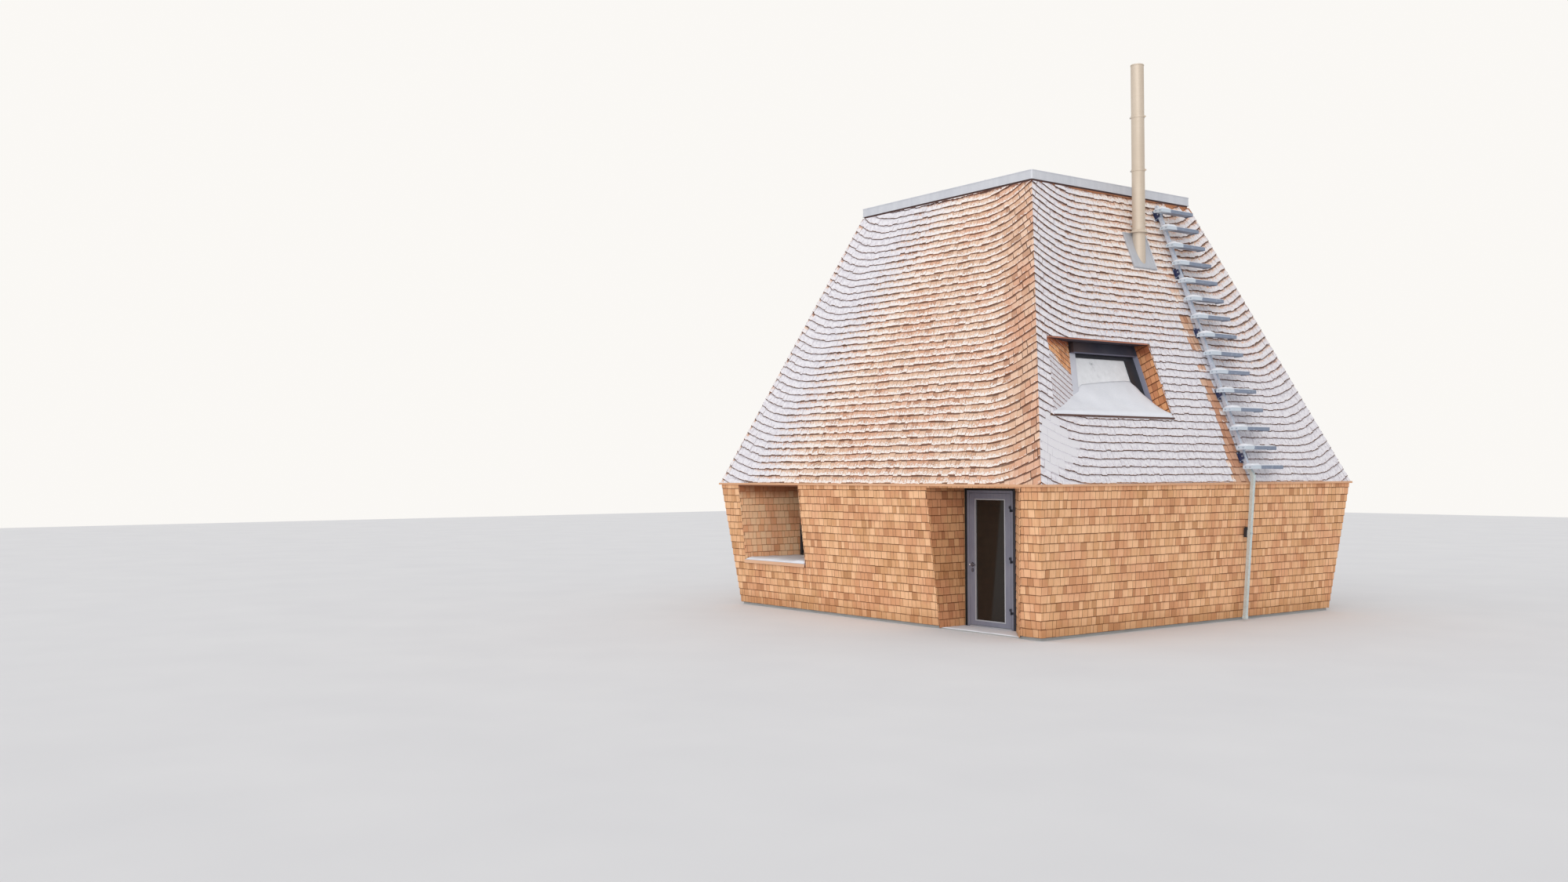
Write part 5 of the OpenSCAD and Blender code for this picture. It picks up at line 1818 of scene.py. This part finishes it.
@dataclass
class TopFittings:
    """Edges and joints of the roof cap, and the rim, locks and flashing of the flue."""

    radius: float = 0.03
    cap_foot_z: float = 7.63
    drip: Profile = ((-0.01, -0.006), (0.007, -0.006), (0.007, 0.008), (0.0, 0.014), (-0.01, 0.014))
    brim: Profile = (
        (-0.02, -0.001), (-0.001, -0.010), (0.005, -0.010), (0.005, 0.005), (-0.02, 0.005))
    joint_xs: Point = (-1.1, 0.0, 1.1)
    joint_spread: float = 0.95
    strip_half: float = 0.02
    strip_t: float = 0.0025
    strip_gaps: Pair = (0.016, 0.012)
    seam_half: float = 0.012
    seam_rise: float = 0.02
    seam_inset: float = 0.03
    flue: Pair = (2.66, 0.16)
    flue_r: float = 0.115
    flue_top: float = 9.88
    rim_drop: float = 0.022
    rim: Profile = ((0.0002, 0.0), (0.005, 0.002), (0.005, 0.019), (0.0002, 0.021))
    band_pitch: float = 0.96
    bands: int = 3
    lock_turns: tuple[int, int] = (200, 20)
    lock_offs: Pair = (-0.011, 0.008)
    lock: Profile = ((0.005, 0.004), (0.032, 0.008), (0.032, 0.030), (0.005, 0.036))
    lock_t: float = 0.003
    lock_bolt: Point = (0.020, -0.0125, 0.019)
    flashing: Quad = (-0.15, 0.47, 6.1987, 6.8387)
    lip: Profile = (
        (-0.016, 0.028), (0.004, 0.020), (0.004, 0.044), (-0.004, 0.048), (-0.016, 0.038))

    def outline(self, z: float) -> Spots:
        """The cap's outline at a height, with rounded corners."""
        path = []
        for a, b in ((1, 1), (-1, 1), (-1, -1), (1, -1)):
            centre = Vector((a * (CAP_HALF[0] - self.radius), b * (CAP_HALF[1] - self.radius), z))
            start = math.atan2(b, a) - math.pi / 4
            for i in range(5):
                way = Vector((math.cos(start + i * math.pi / 8), math.sin(start + i * math.pi / 8), 0))
                path.append((centre + way * self.radius, way))
        return path

    def build(self, bolts: BoltTree) -> None:
        """Make the fittings."""
        edges = Shape().hoop(self.outline(self.cap_foot_z), UP, self.drip)
        edges.hoop(self.outline(CAP_TOP_Z), UP, self.brim)
        edges.piece("cap_edges", CAP_SHEET, "grey_sheet")
        self.cap_joints()
        self.flue_parts(bolts)

    def cap_joints(self) -> None:
        """Cover strips on the cap's four edges and standing seams across its top."""
        (wide, deep), half = CAP_HALF, self.strip_half
        low, high = self.cap_foot_z + self.strip_gaps[0], CAP_TOP_Z - self.strip_gaps[1]
        joints = Shape()
        for x in self.joint_xs:
            y = x * self.joint_spread
            for side in (-1, 1):
                d0, d1 = sorted((side * deep, side * (deep + self.strip_t)))
                joints.box((x - half, d0, low), (x + half, d1, high))
                w0, w1 = sorted((side * wide, side * (wide + self.strip_t)))
                joints.box((w0, y - half, low), (w1, y + half, high))
            end = deep - self.seam_inset
            joints.box((x - self.seam_half, -end, CAP_TOP_Z),
                       (x + self.seam_half, end, CAP_TOP_Z + self.seam_rise))
        joints.piece("cap_joints", CAP_SHEET, "grey_sheet", 0.0008)

    def flue_parts(self, bolts: BoltTree) -> None:
        """The flue's rim, the locks of its bands and the lips of its flashing."""
        (x, y), r = self.flue, self.flue_r
        rim = [(r + a, b) for a, b in self.rim]
        steel = Shape().lathe((x, y, self.flue_top - self.rim_drop), (0, 0, 1), rim, 40)
        spots = []
        out, off, rise = self.lock_bolt
        for i in range(1, self.bands + 1):
            middle = Vector((x, y, self.flue_top - self.band_pitch * i))
            for turn in self.lock_turns:
                way = Vector((math.cos(math.radians(turn)), math.sin(math.radians(turn)), 0))
                side = way.cross(UP)
                for start in self.lock_offs:
                    ring = [middle + way * (r + a) + side * start + UP * b for a, b in self.lock]
                    steel.prism(ring, side * self.lock_t)
                spots.append((middle + UP * rise + way * (r + out) + side * off, -side))
        steel.piece("flue_locks", FLUE_STEEL, "galvanised", 0.0006)
        bolts.fix("flue_bolts", spots, 0.006, GALVANISED, "galvanised")
        slope = roof_face(1)
        s0, s1, z0, z1 = self.flashing
        low, high = (s0, (z0 - EAVE_Z) * SLANT), (s1, (z1 - EAVE_Z) * SLANT)
        lips = Shape().hoop(border(slope, low, high), slope.out, self.lip)
        lips.piece("flashing_lips", GREY_SHEET, "grey_sheet")


@dataclass
class SettledSnow:
    """Snow that lies in soft banks on sills, steps, treads and the cap."""

    window_profile: Profile = (
        (-3.40, 0.03), (-2.95, 0.16), (-2.38, 0.36), (-2.00, 0.56), (-1.50, 0.62), (-0.85, 0.67),
        (-0.72, 0.67), (-0.62, 0.59), (-0.52, 0.46), (-0.48, 0.37))
    window_splay: float = 0.3178
    window_depth: float = 0.453
    lip: float = 0.055
    lip_start: float = 0.012
    overhang: float = 0.038
    niche_x: Pair = (-3.655, -1.79)
    niche_y: Pair = (-4.008, -2.665)
    niche_depth: float = 0.050
    niche_bare: float = 1.20
    step_y: Pair = (-3.842, -3.322)
    step_x: Pair = (1.736, 3.480)
    step_splay: float = 1.05
    step_depth: float = 0.014
    cap_xs: Profile = ((-2.20, -1.12), (-1.08, -0.02), (0.02, 1.08), (1.12, 2.20))
    cap_y: float = 2.10
    cap_depth: float = 0.03
    cell: float = 0.05

    def bank(self, x: float) -> float:
        """Height of the bank against a roof window."""
        rows = self.window_profile
        for (x0, h0), (x1, h1) in zip(rows, rows[1:]):
            if x <= x1:
                return h0 + (h1 - h0) * (x - x0) / (x1 - x0)
        return rows[-1][1]

    @staticmethod
    def ripple(x: float, y: float) -> float:
        """Slight fixed unevenness, about a centimetre."""
        waves = math.sin(x * 9.1 + 2.0 * y) + math.sin(x * 23.0 - y * 17.0) * 0.6
        return 0.006 * (waves + math.sin(y * 31.0) * 0.4)

    def window_bank(self, quarter: int) -> None:
        """Lay the bank on a roof window's sill, up to its cheek and its glass."""
        turn, foot = quarter_turn(quarter), WINDOW_FOOT_Z
        start = slope_y(foot) - self.overhang
        x0, x1 = self.window_profile[0][0], self.window_profile[-1][0]

        def limit(x: float, rise: float) -> float:
            """Y at which the bank meets the cheek or the window."""
            share = min(1.0, max(0.02, (x - WINDOW_LEFT_X - self.window_splay * rise) / CHEEK_RUN))
            return slope_y(foot) + ROOF_K * rise + self.window_depth * share

        def rule(s: float, t: float) -> tuple[Vector, Vector]:
            """Top and underside, with a steep lip in front."""
            x = x0 + (x1 - x0) * s
            high = self.bank(x)
            y = start + (limit(x, high) - start) * t
            front = self.lip_start + (self.lip - self.lip_start) * min(1.0, t * 14)
            uneven = self.ripple(x, y) * min(1.0, 6 * t) * min(1.0, 6 * (1 - t))
            top = Vector((x, y, foot + front + (high - self.lip) * t ** 1.25 + uneven))
            drop = 0.002 if t else 0.018
            return turn @ top, turn @ Vector((x, start + (limit(x, 0.0) - start) * t, foot - drop))

        bank = Shape().sheet((60, 14), rule).smooth()
        bank.piece(f"roof_window_snow_{SIDES[quarter]}", SNOW)

    def niche_bank(self, quarter: int) -> None:
        """Lay thin snow on a niche's sill, open at its near back corner."""
        turn = quarter_turn(quarter)
        (x0, x1), (front, inner) = self.niche_x, self.niche_y

        def rule(s: float, t: float) -> tuple[Vector, Vector]:
            """Top and underside, thin at the borders."""
            x = x0 + (x1 - x0) * s
            y = front + (inner - self.niche_bare * ramp(x, -2.5, NICHE_SPAN[1]) - front) * t
            round_off = min(1.0, 10 * t, 10 * (1 - t), 14 * (x + 3.665), 14 * (-1.775 - x) + 0.15) ** 0.5
            rise = 0.001 + (self.niche_depth + self.ripple(x * 0.7, y * 0.7)) * round_off
            top = Vector((x, y, NICHE_SILL_Z + max(0.001, rise)))
            return turn @ top, turn @ Vector((x, y, NICHE_SILL_Z - 0.0005))

        Shape().sheet((36, 24), rule).smooth().piece(f"niche_snow_{SIDES[quarter]}", SNOW)

    def step_bank(self) -> None:
        """Lay thin snow on the doorstep, low enough for the door to pass over."""
        (x0, x1), (y0, y1) = self.step_x, self.step_y

        def rule(t: float, u: float) -> tuple[Vector, Vector]:
            """Top and underside, thin at the borders."""
            y = y0 + (y1 - y0) * u
            x = x0 + (x1 - self.step_splay * (y - y0) - x0) * t
            edge = min(1.0, 8 * u + 0.2, 8 * (1 - u) + 0.1, 14 * t + 0.1, 14 * (1 - t) + 0.1) ** 0.5
            rise = (self.step_depth + self.ripple(x, y) * 0.35) * edge
            return Vector((x, y, STEP_Z + max(0.002, rise))), Vector((x, y, STEP_Z - 0.0005))

        Shape().sheet((40, 18), rule).smooth().piece("doorstep_snow", SNOW)

    def cushion(self, low: Pair, high: Pair, foot: float, depth: float, shape: Shape) -> None:
        """Add a flat cushion of snow over a rectangle.

        Args:
            low: Its lower corner.
            high: Its upper corner.
            foot: The height that it lies on.
            depth: Its depth at the middle.
            shape: The collection that takes it.
        """
        (x0, y0), (x1, y1) = low, high

        def rule(s: float, t: float) -> tuple[Vector, Vector]:
            """Top and underside, rounded towards the borders."""
            x, y = x0 + (x1 - x0) * s, y0 + (y1 - y0) * t
            edge = max(0.0, min(x - x0, x1 - x, y - y0, y1 - y))
            rise = depth * (0.35 + 0.65 * min(1.0, edge / max(depth, 0.02)) ** 0.5)
            rise += self.ripple(x, y) * min(1.0, edge / 0.05) * min(1.0, depth / 0.04)
            return Vector((x, y, foot + max(rise, 0.002))), Vector((x, y, foot - 0.001))

        shape.sheet((max(4, int((x1 - x0) / self.cell)), max(4, int((y1 - y0) / self.cell))), rule)

    def build(self) -> None:
        """Lay every bank but the treads' crusts, which the ladder lays."""
        for quarter in (1, 3):
            self.window_bank(quarter)
        for quarter in (0, 2):
            self.niche_bank(quarter)
        self.step_bank()
        cap = Shape()
        for x0, x1 in self.cap_xs:
            self.cushion((x0, -self.cap_y), (x1, self.cap_y), CAP_TOP_Z, self.cap_depth, cap)
        cap.smooth().piece("cap_snow", SNOW)


@dataclass
class Studio:
    """Floor, world and lamps."""

    floor: float = 60.0
    world: float = 0.72
    sun: float = 0.70
    fill: float = 1.05
    light: Colour = (1.0, 0.985, 0.97)
    backdrop: Colour = (0.96, 0.94, 0.91)
    pale: Colour = srgb(226, 227, 230)
    dim: Colour = srgb(218, 219, 223)

    def build(self) -> None:
        """Make the floor, the world and the lamps."""
        shape = bmesh.new()
        bmesh.ops.create_grid(shape, x_segments=1, y_segments=1, size=self.floor)
        mesh = bpy.data.meshes.new("studio_floor")
        shape.to_mesh(mesh)
        shape.free()
        sh = Shader("studio_floor")
        mottle = sh.noise(sh.place, 0.6, 2.0)
        mesh.materials.append(sh.surface({
            "Base Color": sh.mix(mottle, self.pale, self.dim), "Roughness": 0.9}))
        ground = bpy.data.objects.new("studio_floor", mesh)
        bpy.context.scene.collection.objects.link(ground)
        self.build_world()
        self.build_sun("key", self.sun, 46, 12, 95)
        self.build_sun("fill", self.fill, 84, 42, 40)

    def build_sun(self, name: str, energy: float, tilt: float, turn: float, wide: float) -> None:
        """Make one wide sun lamp.

        Args:
            name: The lamp's name.
            energy: Its strength.
            tilt: Degrees from straight down.
            turn: Degrees about the vertical axis.
            wide: Degrees that the lamp spans.
        """
        sun = bpy.data.lights.new(name, "SUN")
        sun.energy = energy
        sun.angle = math.radians(wide)
        lamp = bpy.data.objects.new(name, sun)
        lamp.rotation_euler = (math.radians(tilt), 0, math.radians(turn))
        bpy.context.scene.collection.objects.link(lamp)

    def build_world(self) -> None:
        """Make a soft white world that the camera sees as white."""
        world = bpy.data.worlds.new("studio")
        bpy.context.scene.world = world
        world.use_nodes = True
        tree = NodeTree(world.node_tree)
        path = tree.node("ShaderNodeLightPath").outputs
        seen = path["Is Camera Ray"]
        for ray in ("Is Transmission Ray", "Is Glossy Ray"):
            either = tree.node("ShaderNodeMath", {"operation": "MAXIMUM"}, {0: seen, 1: path[ray]})
            seen = either.outputs[0]
        plain = tree.node("ShaderNodeBackground", None, {"Color": self.light, "Strength": self.world})
        white = tree.node("ShaderNodeBackground", None, {"Color": self.backdrop})
        blend = tree.node("ShaderNodeMixShader", None, {0: seen, 1: plain.outputs[0], 2: white.outputs[0]})
        tree.node("ShaderNodeOutputWorld", None, {"Surface": blend.outputs[0]})


@dataclass(frozen=True)
class Viewpoint:
    """The photograph's camera."""

    place: Point = (18.701, -19.803, 2.592)
    yaw: float = 53.1644
    pitch: float = 1.3139
    roll: float = -0.2202
    lens: float = 31.955

    def build(self) -> None:
        """Make the camera."""
        yaw, pitch, roll = (math.radians(a) for a in (self.yaw, self.pitch, self.roll))
        ahead = Vector((-math.sin(yaw) * math.cos(pitch), math.cos(yaw) * math.cos(pitch), math.sin(pitch)))
        side = Vector((math.cos(yaw), math.sin(yaw), 0))
        up = side.cross(ahead)
        right = side * math.cos(roll) + up * math.sin(roll)
        top = up * math.cos(roll) - side * math.sin(roll)
        data = bpy.data.cameras.new("viewpoint")
        data.lens = self.lens
        data.sensor_width = 36.0
        data.sensor_fit = "HORIZONTAL"
        data.clip_end = 500.0
        camera = bpy.data.objects.new("viewpoint", data)
        turn = Matrix((right, top, -ahead)).transposed().to_4x4()
        camera.matrix_world = Matrix.Translation(self.place) @ turn
        bpy.context.scene.collection.objects.link(camera)
        bpy.context.scene.camera = camera


def dress_frame(nodes: dict[str, bpy.types.Object]) -> None:
    """Give every carried node its finish."""
    for name, node in nodes.items():
        finish = NODE_FINISHES[name]
        node.data.materials.clear()
        node.data.materials.append(finish.material())
        log.info("%s: %s", name, finish.name)


def main() -> None:
    """Build the scene in order."""
    logging.basicConfig(level=logging.INFO, format="%(name)s %(message)s")
    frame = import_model()
    bpy.context.scene.view_settings.view_transform = "Standard"
    Viewpoint().build()
    Studio().build()
    dress_frame(frame["nodes"])
    tree = ShingleTree()
    roof = RoofCladding()
    walls = WallCladding()
    roof.build(tree)
    walls.build(tree)
    NicheCladding(walls).build(tree)
    WindowCladding(roof).build(tree)
    snow = SettledSnow()
    snow.build()
    bolts = BoltTree()
    RoofLadder().build(bolts, snow)
    DoorFittings().build(bolts)
    NicheFittings().build()
    TopFittings().build(bolts)


if __name__ == "__main__":
    main()
